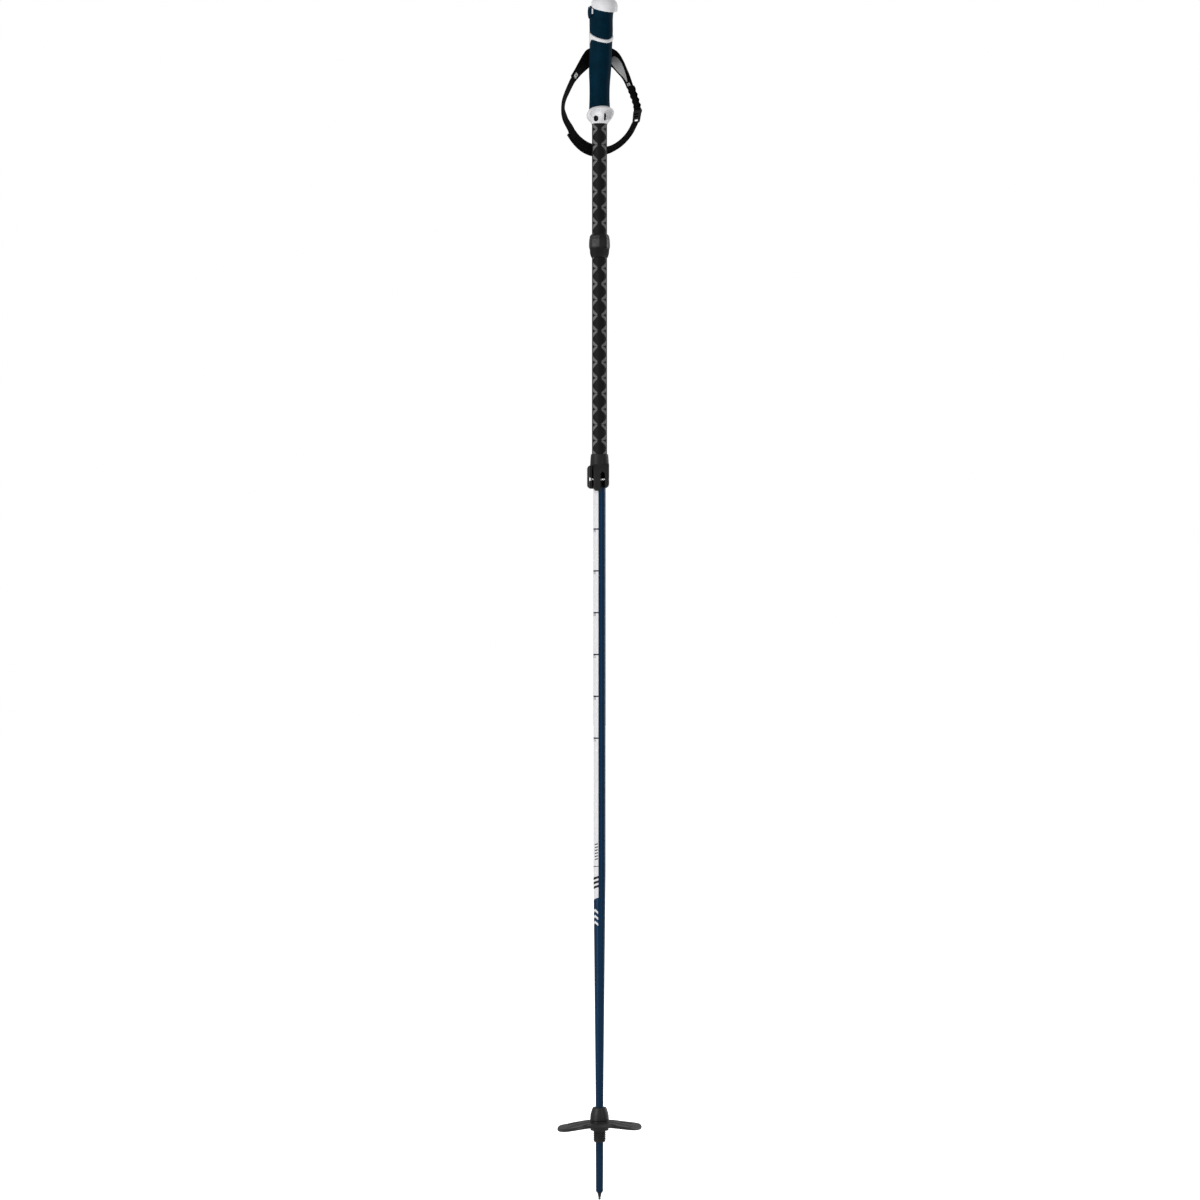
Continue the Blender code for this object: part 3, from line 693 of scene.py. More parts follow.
@dataclass(frozen=True)
class PaintedScale(Finish):
    """Gloss navy paint with a white stripe that carries a length scale.

    The stripe is where the angle from its middle is under its half-width, so the cosine
    of that angle is over a limit, and where the height is over a slanted foot. A mark is
    drawn across it at each step of the scale.
    """

    stripe: Colour = (0.88, 0.88, 0.9)
    ink: Colour = (0.008, 0.014, 0.03)
    stripe_angle: float = -182.0
    stripe_half: float = 60.0
    foot_z: float = 362.8
    foot_slant: float = 0.47
    first_mark_z: float = FIRST_MARK_Z
    mark_step: float = MARK_STEP
    mark_half: float = 0.75
    marks_to_z: float = 831.0

    def dress(self, nodes: Nodes, coords: Socket) -> bpy.types.Material:
        """Wire the paint, the stripe and its marks.

        Args:
            nodes: Builder of the material.
            coords: Object coordinates in millimetres.

        Returns:
            The finished material.
        """
        colour, roughness = self.base(nodes, coords)
        x, y, z = (nodes.axis(coords, which) for which in "XYZ")
        middle = math.radians(self.stripe_angle)
        radius = nodes.math("SQRT", nodes.plus(nodes.times(x, x),
                                               nodes.times(y, y)))
        toward = nodes.plus(nodes.times(x, math.cos(middle)),
                            nodes.times(y, math.sin(middle)))
        aside = nodes.plus(nodes.times(x, -math.sin(middle)),
                           nodes.times(y, math.cos(middle)))
        cosine = nodes.math("DIVIDE", toward, radius)
        limit = math.cos(math.radians(self.stripe_half))
        on_side = nodes.span(cosine, limit - 0.006, limit + 0.006)
        foot = nodes.plus(nodes.times(aside, self.foot_slant), self.foot_z)
        above = nodes.span(nodes.minus(z, foot), -0.1, 0.1)
        stripe = nodes.times(on_side, above)
        phase = nodes.math("PINGPONG", nodes.minus(z, self.first_mark_z), self.mark_step / 2)
        line = nodes.span(nodes.math("ABSOLUTE", phase), self.mark_half, self.mark_half + 0.15, 1.0, 0.0)
        high = nodes.span(z, self.first_mark_z - 2.0, self.first_mark_z - 1.5)
        low = nodes.span(z, self.marks_to_z, self.marks_to_z + 0.5, 1.0, 0.0)
        mark = nodes.times(nodes.times(line, high), low)
        chips = nodes.span(nodes.noise(coords, 0.9, 6.0, 0.75), 0.74, 0.76)
        printed = nodes.times(stripe, nodes.minus(1.0, chips))
        white = nodes.blend(nodes.span(nodes.noise(coords, 0.12), 0.3, 0.7, 0.0, 0.25),
                            self.stripe, tinted(self.stripe, 0.9))
        shown = nodes.blend(mark, white, self.ink)
        colour = nodes.blend(printed, colour, shown)
        height = nodes.plus(nodes.times(printed, 0.6),
                            nodes.times(nodes.noise(coords, 1.3, 4.0), 0.25))
        return nodes.wire(colour, roughness, height, self.grain_depth)


@dataclass(frozen=True)
class LatticeSleeve(Finish):
    """Matt black sleeve whose raised lattice bars are smoother and greyer.

    The bars are the piece's own 0 to 1 attribute; between them runs a fine diamond mesh,
    the product of two sines along the surface's diagonals.
    """

    bar: Colour = (0.16, 0.16, 0.162)
    bar_roughness: float = 0.4
    mesh_pitch: float = 1.3

    def dress(self, nodes: Nodes, coords: Socket) -> bpy.types.Material:
        """Wire the bars and the mesh between them.

        Args:
            nodes: Builder of the material.
            coords: Object coordinates in millimetres.

        Returns:
            The finished material.
        """
        colour, roughness = self.base(nodes, coords)
        raised = nodes.add("Attribute", attribute_name="lattice").outputs["Fac"]
        surface = nodes.surface()
        u, v = nodes.axis(surface, "X"), nodes.axis(surface, "Y")
        pitch = TAU / self.mesh_pitch
        one = nodes.math("SINE", nodes.times(nodes.plus(u, v), pitch))
        two = nodes.math("SINE", nodes.times(nodes.minus(u, v), pitch))
        mesh = nodes.span(nodes.times(one, two), -0.6, 0.6)
        colour = nodes.blend(nodes.times(mesh, 0.3), colour, (0.02, 0.02, 0.021))
        colour = nodes.blend(raised, colour, self.bar)
        gloss = nodes.span(raised, 0.0, 1.0, 0.0, self.roughness - self.bar_roughness)
        roughness = nodes.minus(roughness, gloss)
        flat = nodes.minus(1.0, raised)
        height = nodes.plus(nodes.times(mesh, flat),
                            nodes.times(nodes.noise(coords, 3.0, 2.0), 0.3))
        return nodes.wire(colour, roughness, height, self.grain_depth)


@dataclass(frozen=True)
class Woven(Finish):
    """Woven cloth: ribs across the band and yarns along it, from two crossed sines.

    Height is the larger of a rib wave and a yarn wave half a step out of phase, so each
    crossing passes over or under; loose fibres are a fine noise.
    """

    rib_pitch: float = 1.15
    yarn_pitch: float = 0.85
    # Colour the cloth shifts to along its length; on the silver lining this is a painted sheen.
    fade: Optional[Colour] = None
    fade_length: float = 30.0
    fuzz: float = 0.25
    # Share of the painted shade in the weave's low places.
    contrast: float = 1.0

    def dress(self, nodes: Nodes, coords: Socket) -> bpy.types.Material:
        """Wire the weave along the piece's own surface coordinates.

        Args:
            nodes: Builder of the material.
            coords: Object coordinates in millimetres.

        Returns:
            The finished material.
        """
        surface = nodes.surface()
        u, v = nodes.axis(surface, "X"), nodes.axis(surface, "Y")
        rib = nodes.math("SINE", nodes.times(v, TAU / self.rib_pitch))
        yarn = nodes.math("SINE", nodes.times(u, TAU / self.yarn_pitch))
        over = nodes.times(rib, yarn)
        weave = nodes.span(over, -1.0, 1.0)
        fibres = nodes.noise(coords, 5.0, 4.0, 0.7)
        colour = self.colour
        # Painted sheen: the colour brightens along the band towards the fade colour over fade_length.
        if self.fade:
            colour = nodes.blend(nodes.span(v, 0.0, self.fade_length), self.colour, self.fade)
        # Painted shade: where the weave lies low, the colour is darkened towards 0.45 of itself.
        share = nodes.span(weave, 0.1, 0.8, 1.0 - self.contrast)
        tint = nodes.blend(share, tinted(self.colour, 0.45), colour)
        loose = nodes.span(fibres, 0.55, 0.8, 0.0, self.fuzz)
        tint = nodes.blend(loose, tint, tinted(self.colour, 1.9, 0.01))
        height = nodes.plus(weave, nodes.times(fibres, 0.5))
        roughness = nodes.span(fibres, 0.3, 0.7, self.roughness - 0.05, self.roughness + 0.07)
        return nodes.wire(tint, roughness, height, self.grain_depth)


FINISHES: Tuple[Finish, ...] = (
    PaintedScale(Slot.NAVY_PAINT, (0.0006, 0.0285, 0.078), 0.26, specular=0.14, coat=0.06,
                 grain_depth=0.012, mottle=0.1, scuffs=0.04),
    Finish(Slot.BARE_TUBE, (0.6, 0.6, 0.62), 0.34, metallic=1.0, brushed=True),
    LatticeSleeve(Slot.BLACK_SLEEVE, (0.0035, 0.0035, 0.0038), 0.55, specular=0.16, grain_depth=0.05,
                  scuffs=0.02),
    Finish(Slot.NAVY_RUBBER, (0.0, 0.0175, 0.036), 0.62, specular=0.04, grain_scale=2.2,
           grain_depth=0.03, mottle=0.25, scuffs=0.02),
    Finish(Slot.BLACK_RUBBER, (0.0045, 0.0045, 0.005), 0.34, specular=0.3, grain_scale=2.4,
           grain_depth=0.015, scuffs=0.06),
    Finish(Slot.WHITE_PLASTIC, (0.88, 0.88, 0.9), 0.36, specular=0.3, grain_scale=2.0, grain_depth=0.008,
           mottle=0.04, scuffs=0.0),
    Finish(Slot.CHARCOAL_PLASTIC, (0.018, 0.018, 0.019), 0.46, specular=0.22, grain_scale=2.6,
           grain_depth=0.022, scuffs=0.15),
    Finish(Slot.GREY_PLASTIC, (0.022, 0.022, 0.023), 0.42, specular=0.35, grain_scale=2.2,
           grain_depth=0.025, mottle=0.3, scuffs=0.3),
    Finish(Slot.STEEL, (0.75, 0.76, 0.78), 0.24, metallic=1.0, brushed=True, grain_depth=0.004),
    Finish(Slot.DARK_STEEL, (0.07, 0.07, 0.075), 0.3, metallic=1.0, brushed=True, scuffs=0.5,
           grain_depth=0.006),
    Finish(Slot.CARBIDE, (0.2, 0.2, 0.21), 0.32, metallic=1.0, grain_scale=5.0, grain_depth=0.012),
    Woven(Slot.BLACK_WEBBING, (0.004, 0.004, 0.0044), 0.82, specular=0.1, grain_depth=0.14, fuzz=0.15),
    # The silver lining's fade from grey to white along its length is a painted sheen.
    Woven(Slot.SILVER_LINING, (0.16, 0.16, 0.165), 0.6, grain_depth=0.05, rib_pitch=0.8, yarn_pitch=0.8,
          fade=(1.0, 1.0, 1.0), fade_length=17.0, fuzz=0.1, contrast=0.3),
    Woven(Slot.WHITE_PRINT, (0.98, 0.98, 0.98), 0.6, grain_depth=0.05, rib_pitch=0.7, yarn_pitch=0.7,
          fuzz=0.05, contrast=0.25),
)


class Workshop:
    """Fits finished pieces to the frame and logs each one with its face count."""

    def __init__(self, frame: Dict) -> None:
        """Make each finish's material once, and dress the frame's own nodes in them.

        Args:
            frame: The loaded frame.
        """
        self.materials = {finish.slot: finish.material() for finish in FINISHES}
        slots = {part["node"]: part["material_slot"] for part in frame["record"]["subparts"]}
        for node, obj in frame["nodes"].items():
            obj.data.materials.clear()
            obj.data.materials.append(self.materials[Slot(slots[node])])

    def fit(self, obj: bpy.types.Object, body: Body, slot: Slot, *nodes: str,
            crease: float = 40.0) -> bpy.types.Object:
        """Dress a piece, make it ride on its body and say which nodes it stands for.

        Args:
            obj: The finished mesh object.
            body: Body that it moves with.
            slot: Finish that it takes.
            nodes: Frame nodes that it replaces.
            crease: Angle above which an edge stays sharp.

        Returns:
            The same object.
        """
        obj.data.materials.clear()
        obj.data.materials.append(self.materials[slot])
        obj.data.polygons.foreach_set("material_index", np.zeros(len(obj.data.polygons), np.int32))
        obj.data.shade_smooth()
        obj.data.set_sharp_from_angle(angle=math.radians(crease))
        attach(obj, body.value)
        if nodes:
            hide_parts(*nodes)
        log.info("%s: %d faces, on %s, for %s", obj.name, len(obj.data.polygons), body.value,
                 ", ".join(nodes) or "detail")
        return obj


# ---- tip, lower shaft and basket ----------------------------------------------------


@dataclass
class Tip:
    """Fluted carbide point in its blackened steel holder."""

    point_r: float = 1.6
    flutes: int = 8
    flute_depth: float = 0.14
    holder_top: float = 9.0

    def point(self) -> bpy.types.Object:
        """Point whose radius swells and dips with the angle: r = r(z) (1 + depth cos(flutes a)).

        Returns:
            The piece as an object.
        """
        z = np.linspace(0.0, 3.0, 16)
        radius = np.interp(z, (0.0, 0.25, 0.9, 3.0), (1.05, 1.25, self.point_r - 0.1, self.point_r - 0.1))
        grid = around(np.column_stack([radius, z]), 96)
        angle = full_turn(96)
        wave = 1.0 + self.flute_depth * 0.5 * np.cos(self.flutes * angle)
        fade = np.clip((2.9 - z) / 1.5, 0.0, 1.0)[:, None]
        grid[..., :2] *= (1.0 + (wave - 1.0) * fade)[..., None]
        return skin("tip_point", grid)

    def holder(self) -> bpy.types.Object:
        """Tapered holder with a turned groove, closed by its stem inside the shaft."""
        profile = [(1.35, 3.3), (1.7, 3.5), (1.75, 4.4), (2.35, 6.4), (2.1, 6.7), (2.1, 7.1), (2.55, 7.4),
                   (3.2, self.holder_top), (2.7, self.holder_top), (2.7, 39.5)]
        return skin("tip_holder_turned", around(rounded([(0.2, 3.3)] + profile + [(0.2, 39.5)], 0.2), 72))

    def build(self, shop: Workshop) -> None:
        """Build and fit both pieces."""
        shop.fit(self.point(), Body.LOWER, Slot.CARBIDE, "carbide_tip", crease=60.0)
        shop.fit(self.holder(), Body.LOWER, Slot.DARK_STEEL, "tip_holder")


@dataclass
class LowerShaft:
    """Painted tapered tube with its printed scale, numbers and plain graphic bars."""

    tube_r: float = 7.45
    bore_r: float = 6.45
    top_z: float = 1045.0
    taper_top_z: float = 398.0
    taper_foot_z: float = 126.0
    end_r: float = 4.7
    end_z: float = 9.3
    print_height: float = 0.05
    print_root: float = 0.03
    mark_step: float = MARK_STEP
    lowest_mark: int = 115
    lowest_mark_z: float = FIRST_MARK_Z
    number_count: int = 6
    number_height: float = 3.6
    number_angle: float = -176.0

    def radius_at(self, z: Array) -> Array:
        """Outside radius of the tube at a height: straight runs between the taper's ends."""
        return np.interp(z, (self.end_z, 83.0, self.taper_foot_z, self.taper_top_z),
                         (self.end_r - 0.35, self.end_r, self.end_r, self.tube_r))

    def tube(self) -> bpy.types.Object:
        """Tube turned from its outline, with rows close enough to keep the taper true.

        Returns:
            The piece as an object.
        """
        tapered = np.linspace(12.0, self.taper_top_z, 60)
        straight = np.linspace(self.taper_top_z + 22.0, self.top_z - 0.6, 60)
        z = np.concatenate([[self.end_z + 0.9], tapered, straight])
        outside = np.column_stack([self.radius_at(z), z])
        foot = [(3.0, self.end_z), (3.6, self.end_z), (4.1, self.end_z + 0.3)]
        top = [(self.tube_r - 0.25, self.top_z), (self.bore_r, self.top_z)]
        inside = [(self.bore_r, self.taper_top_z), (3.5, self.taper_foot_z), (3.0, 60.0)]
        return skin("shaft_tube", around(np.vstack([foot, outside, top, inside]), 128), wrap_rows=True)

    def wrapped(self, flat: Array, raised: Array) -> Array:
        """Bend flat points round the shaft.

        A point (across, z) goes to the angle across / radius, at the tube's radius plus its
        raised height.

        Args:
            flat: (..., 2) distances round the shaft, from the scale's middle, and heights.
            raised: Height of each point above the paint.

        Returns:
            The points in space.
        """
        radius = self.radius_at(flat[..., 1])
        angle = math.radians(self.number_angle) + flat[..., 0] / radius
        return polar(radius + raised, angle, flat[..., 1])

    def bar(self, name: str, start: float, end: float, z: float, height: float,
            rise: float) -> bpy.types.Object:
        """Printed bar round the shaft: it runs from start to end, climbing by rise on the way.

        Args:
            name: Name of the bar.
            start: Distance round the shaft at which it starts.
            end: Distance at which it ends.
            z: Height of its start.
            height: Its own height.
            rise: How far it climbs.

        Returns:
            The piece as an object.
        """
        across = np.linspace(start, end, 18)[:, None]
        lift = rise * (across - start) / (end - start)
        section = np.array([-0.5, 0.5, 0.5, -0.5]) * height
        flat = np.stack([across + 0.0 * section, z + lift + section], axis=-1)
        raised = np.array([-self.print_root, -self.print_root, self.print_height, self.print_height])
        return skin(name, self.wrapped(flat, raised + 0.0 * across))

    def number(self, value: int, z: float) -> bpy.types.Object:
        """Length in centimetres, printed under its mark and bent round the shaft.

        Args:
            value: The length that it shows.
            z: Height of its mark.

        Returns:
            The piece as an object.
        """
        curve = bpy.data.curves.new(f"length_{value}", "FONT")
        curve.body = str(value)
        curve.size = self.number_height * 1.35
        curve.extrude = self.print_height / 2
        curve.align_x = "CENTER"
        text = linked(f"length_{value}", curve)
        mesh = evaluated(text)
        bpy.data.objects.remove(text, do_unlink=True)
        flat = corners_of(mesh)
        placed = flat[:, :2] + np.array([0.0, z - self.number_height - 0.4])
        bent = self.wrapped(placed, flat[:, 2] + self.print_root)
        mesh.vertices.foreach_set("co", (bent * MM).ravel())
        return linked(f"length_number_{value}", mesh)

    def graphics(self) -> List[Tuple[bpy.types.Object, Slot]]:
        """Plain bars in place of lettering: thin and bold ones in the stripe, chevrons below it.

        Returns:
            Each bar with the finish that it takes.
        """
        dark = [(f"thin_bar_{i}", 1.9, 6.4, 411.5 + 3.6 * i, 1.3, 1.2) for i in range(6)]
        dark += [("divider_bar", -2.6, 6.8, 402.6, 0.9, 1.0)]
        dark += [(f"bold_bar_{i}", -3.4, 7.0, 376.4 + 5.4 * i, 3.0, 3.4) for i in range(3)]
        white = []
        for i in range(3):
            z = 333.0 + 7.2 * i
            white += [(f"chevron_rise_{i}", -2.8, 1.6, z, 3.0, 3.2),
                      (f"chevron_fall_{i}", 1.6, 6.0, z + 3.2, 3.0, -3.2)]
        return ([(self.bar(*row), Slot.BLACK_RUBBER) for row in dark]
                + [(self.bar(*row), Slot.WHITE_PLASTIC) for row in white])

    def build(self, shop: Workshop) -> None:
        """Build and fit the tube and what is printed on it.

        Args:
            shop: Workshop that dresses and fits the pieces.
        """
        shop.fit(self.tube(), Body.LOWER, Slot.NAVY_PAINT, "lower_shaft")
        for i in reversed(range(self.number_count)):
            number = self.number(self.lowest_mark + 5 * i, self.lowest_mark_z + self.mark_step * i)
            shop.fit(number, Body.LOWER, Slot.BLACK_RUBBER)
        for obj, slot in self.graphics():
            shop.fit(obj, Body.LOWER, slot)


@dataclass
class BasketCollar:
    """Collar on the shaft: a stop cone over the basket and a helical thread under it."""

    bore_r: float = 5.0
    root_r: float = 6.85
    crest_r: float = 7.65
    pitch: float = 2.4
    thread_low: float = 70.9
    thread_high: float = 83.2

    def surface(self) -> Array:
        """Turned outline plus a thread.

        The thread's height at (angle, z) is a rounded wave of the phase (z / pitch -
        angle / turn), faded out at both ends of the threaded length.

        Returns:
            Closed grid of points.
        """
        z = np.concatenate([np.linspace(69.9, 84.0, 110), np.linspace(84.4, 111.6, 60)])
        knots_z = (69.9, 70.6, 83.3, 83.9, 95.7, 96.1, 99.2, 102.8, 106.4, 110.1, 111.3, 111.6)
        knots_r = (6.3, self.root_r, self.root_r, 7.6, 7.6, 11.4, 11.3, 10.95, 10.05, 8.75, 8.35, 8.0)
        radius = np.interp(z, knots_z, knots_r)[:, None]
        angle = full_turn(96)
        wave = thread(z[:, None], angle, self.pitch, 0.25, 0.8)
        ends = smoothstep(z, self.thread_low, self.thread_low + 1.2)
        ends = ends * (1.0 - smoothstep(z, self.thread_high - 1.2, self.thread_high))
        radius = radius + (self.crest_r - self.root_r) * wave * ends[:, None]
        outer = polar(radius, angle, z[:, None])
        inner = around([(self.bore_r, 111.9), (self.bore_r, 69.6)], 96)
        return np.concatenate([outer, inner])

    def build(self, shop: Workshop) -> None:
        """Build and fit the collar."""
        shop.fit(skin("basket_collar", self.surface(), wrap_rows=True), Body.LOWER, Slot.GREY_PLASTIC,
                 "thread_sleeve", crease=50.0)


@dataclass
class Basket:
    """Three-lobed dished snow basket with ribs, a rim bead and two slots in each lobe."""

    lobe_r: float = 51.5
    notch_r: float = 43.0
    hub_r: float = 11.5
    bore_r: float = 7.95
    root_z: float = 94.8
    rim_z: float = 91.4
    thickness: float = 2.0
    front_rise: float = 0.124
    left_rise: float = 0.023
    droop: float = 5.0
    first_lobe: float = -52.0
    bead: float = 0.7
    rib: float = 0.7
    lobe_half: float = 41.0
    lobe_fall: float = 2.5
    slot_aside: float = 29.0
    segments: int = 288

    def outline(self, angle: Array) -> Array:
        """Radius of the rim: flat lobes that fall to a rounded notch between each pair.

        Args:
            angle: Angles round the basket.

        Returns:
            Radius at each angle.
        """
        turn = np.degrees(angle) - self.first_lobe
        off = np.abs((turn + 60.0) % 120.0 - 60.0)
        lobe = self.lobe_r - self.lobe_fall * (off / self.lobe_half)**4
        fade = np.clip((off - self.lobe_half) / (60.0 - self.lobe_half), 0.0, 1.0)
        edge_r = self.lobe_r - self.lobe_fall
        notch = edge_r - (edge_r - self.notch_r) * np.sin(fade * np.pi / 2)
        return np.where(off < self.lobe_half, lobe, notch)

    def web(self, share: Array, drop: Array, top: bool) -> Array:
        """Rings of the dished web.

        Share 0 lies at the hub and 1 at the outline; height falls with share^1.2, rises to the
        front, and droops over each lobe by a cosine of the angle times share^2. Ribs are
        narrow humps in the angle, along the lobes' middles and edges, and the bead is one in
        the share, next to the rim.

        Args:
            share: Place of each ring between the hub and the outline.
            drop: Distance of each ring below the web's top.
            top: True where the relief stands up in full.

        Returns:
            Grid of points, one row for each share.
        """
        angle = full_turn(self.segments)
        share, drop = share[:, None], drop[:, None]
        radius = self.hub_r + (self.outline(angle) - self.hub_r) * share
        x, y = radius * np.cos(angle), radius * np.sin(angle)
        lobe = 0.5 + 0.5 * np.cos(3.0 * (angle - np.radians(self.first_lobe)))
        z = self.root_z - (self.root_z - self.rim_z) * share**1.2 - self.droop * lobe * share**2 - drop
        z = z - (self.front_rise * y + self.left_rise * x) * share
        off = (np.degrees(angle) - self.first_lobe + 60.0) % 120.0 - 60.0
        wide = np.radians(off) * radius
        middle = np.exp(-(wide / 1.3)**2)
        edges = np.exp(-((np.radians(np.abs(off) - 50.0) * radius) / 1.2)**2)
        fade = smoothstep(share, 0.0, 0.1) * (1.0 - smoothstep(share, 0.86, 0.97))
        rim = self.bead * np.exp(-((share - 0.955) / 0.035)**2)
        relief = self.rib * (middle + edges) * fade + rim
        return np.stack([x, y, z + relief * (1.0 if top else -0.8)], axis=-1)

    def surface(self) -> Array:
        """Whole closed outline: hub top, web top, rim, web underside and hub skirt.

        Returns:
            Closed grid of points.
        """
        down = np.linspace(0.0, 0.97, 44)
        top = self.web(down, np.zeros(44), True)
        edge_share = np.array([0.985, 0.996, 1.0, 1.0, 0.992])
        edge = self.web(edge_share, np.array([0.25, 0.7, 1.3, 2.6, 3.3]), True)
        under = self.web(down[::-1], np.full(44, self.thickness), False)
        hub = around([(self.bore_r, 95.4), (self.bore_r + 0.4, 95.7), (self.hub_r - 0.6, 95.7),
                               (self.hub_r - 0.1, 95.4)], self.segments)
        skirt = around([(self.hub_r - 0.5, 84.6), (self.hub_r - 1.0, 84.0), (self.bore_r + 0.3, 84.0),
                                 (self.bore_r, 84.4)], self.segments)
        return np.concatenate([hub, top, edge, under, skirt])

    def slot(self, angle: float, number: int) -> bpy.types.Object:
        """Cutter for one tapered slot with round ends, along a spoke.

        Args:
            angle: Direction of the spoke.
            number: Number in the cutter's name.

        Returns:
            The cutter.
        """
        outline = arc(27.5, 0.0, 3.2, 90, 270, 16) + arc(37.5, 0.0, 2.4, -90, 90, 16)
        rows = [np.column_stack([outline, np.full(len(outline), z)]) for z in (76.0, 104.0)]
        return skin(f"slot_cutter_{number}", turned_z(np.stack(rows), angle))

    def build(self, shop: Workshop) -> None:
        """Build the basket, cut its slots and fit it.

        Args:
            shop: Workshop that dresses and fits the pieces.
        """
        basket = skin("snow_basket", self.surface(), wrap_rows=True)
        places = [120.0 * lobe + self.first_lobe + side * self.slot_aside
                  for lobe in range(3) for side in (-1, 1)]
        combine(basket, "DIFFERENCE", *[self.slot(angle, i) for i, angle in enumerate(places)])
        shop.fit(basket, Body.BASKET, Slot.GREY_PLASTIC, "basket", crease=45.0)


# ---- upper shaft and length lock ----------------------------------------------------


@dataclass
class LatticeTube:
    """Black sleeve with two columns of raised crosses, each cut into four tapered bars."""

    name: str
    node: str
    low: float
    high: float
    cross_z: float
    bore_r: float = 8.7
    radius: float = 9.1
    relief: float = 0.22
    cross_angle: float = -112.0
    crosses_round: int = 2
    pitch: float = 18.9
    top_start: float = 1.3
    top_slope: float = 0.93
    foot_start: float = 4.3
    foot_slope: float = 0.46
    inner_gap: float = 2.5
    outer_reach: float = 9.4
    parting: float = 0.22
    edge_soft: float = 0.28
    columns: int = 160
    row_step: float = 0.5

    def lattice(self, angle: Array, z: Array) -> Array:
        """How far a point is raised, from 0 to 1.

        a and b are its distances from the nearest cross's middle, round the sleeve and up it.
        A bar is where |a| lies between the inner gap and the outer reach and |b| between two
        slanted lines: a steep upper one, and a lower one that starts at the parting.

        Args:
            angle: Angles round the sleeve.
            z: Heights, as a column.

        Returns:
            Grid of shares.
        """
        cell = TAU * self.radius / self.crosses_round
        a = ((angle - math.radians(self.cross_angle)) * self.radius + cell / 2) % cell - cell / 2
        b = (z - self.cross_z + self.pitch / 2) % self.pitch - self.pitch / 2
        a, b = np.abs(a), np.abs(b)
        top = self.top_start + self.top_slope * (a - self.inner_gap)
        foot = np.maximum(self.parting, self.foot_slope * (a - self.foot_start))
        raised = 1.0
        for inside in (b - foot, top - b, a - self.inner_gap, self.outer_reach - a):
            raised = raised * smoothstep(inside, -self.edge_soft, self.edge_soft)
        return raised

    def build(self, shop: Workshop) -> None:
        """Raise the lattice on a fine grid, close it with the bore and fit it.

        Args:
            shop: Workshop that dresses and fits the pieces.
        """
        columns, rows = self.columns, int((self.high - self.low) / self.row_step)
        z = np.linspace(self.low + 0.15, self.high - 0.15, rows)[:, None]
        angle = full_turn(columns)
        raised = self.lattice(angle, z)
        radius = self.radius + self.relief * raised
        outer = polar(radius, angle, z)
        rim_r = self.radius - 0.2
        ends = around([(rim_r, self.high), (self.bore_r, self.high), (self.bore_r, self.low),
                       (rim_r, self.low)], columns)
        full = np.linspace(0.0, TAU * self.radius, columns + 1)
        heights = np.concatenate([z[:, 0], [self.high, self.high, self.low, self.low, self.low]])
        uv = np.stack(np.meshgrid(full, heights), axis=-1)
        values = {"lattice": np.vstack([raised, np.zeros((4, columns))])}
        grid = np.concatenate([outer, ends])
        sleeve = skin(self.name, grid, wrap_rows=True, uv=uv, values=values)
        shop.fit(sleeve, Body.UPPER, Slot.BLACK_SLEEVE, self.node)


@dataclass
class SleeveCollar:
    """Faceted rubber collar between the two sleeves, with a parting groove."""

    facets: int = 8
    facet_share: float = 0.85
    twist: float = 22.5

    def build(self, shop: Workshop) -> None:
        """Build and fit the collar.

        The radius at an angle is the round one times (cos(half facet) / cos(angle within the
        facet))^share. Facets above and below the waist are half a facet apart.

        Args:
            shop: Workshop that dresses and fits the pieces.
        """
        z = np.linspace(1139.05, 1167.2, 120)
        knots_z = (1139.05, 1139.6, 1140.3, 1140.9, 1143.6, 1150.4,
                   1157.5, 1161.4, 1161.9, 1162.4, 1165.0, 1167.2)
        knots_r = (10.2, 10.9, 10.9, 11.3, 12.2, 12.75, 12.6, 12.3, 11.9, 12.1, 11.6, 9.9)
        angle = full_turn(192)
        step = TAU / self.facets
        waist = smoothstep(z, 1148.0, 1152.5)[:, None]

        def facet(turn: float) -> Array:
            """Share of the round radius that facets leave when their corners start at a turn."""
            within = (angle - math.radians(turn)) % step - step / 2
            return (math.cos(step / 2) / np.cos(within))**self.facet_share

        shape = facet(0.0) * (1.0 - waist) + facet(self.twist) * waist
        radius = np.interp(z, knots_z, knots_r)[:, None] * shape
        outer = polar(radius, angle, z[:, None])
        bore = around([(8.75, 1167.25), (8.75, 1139.0)], 192)
        collar = skin("faceted_collar", np.concatenate([outer, bore]), wrap_rows=True)
        shop.fit(collar, Body.UPPER, Slot.BLACK_RUBBER, "sleeve_collar", crease=30.0)


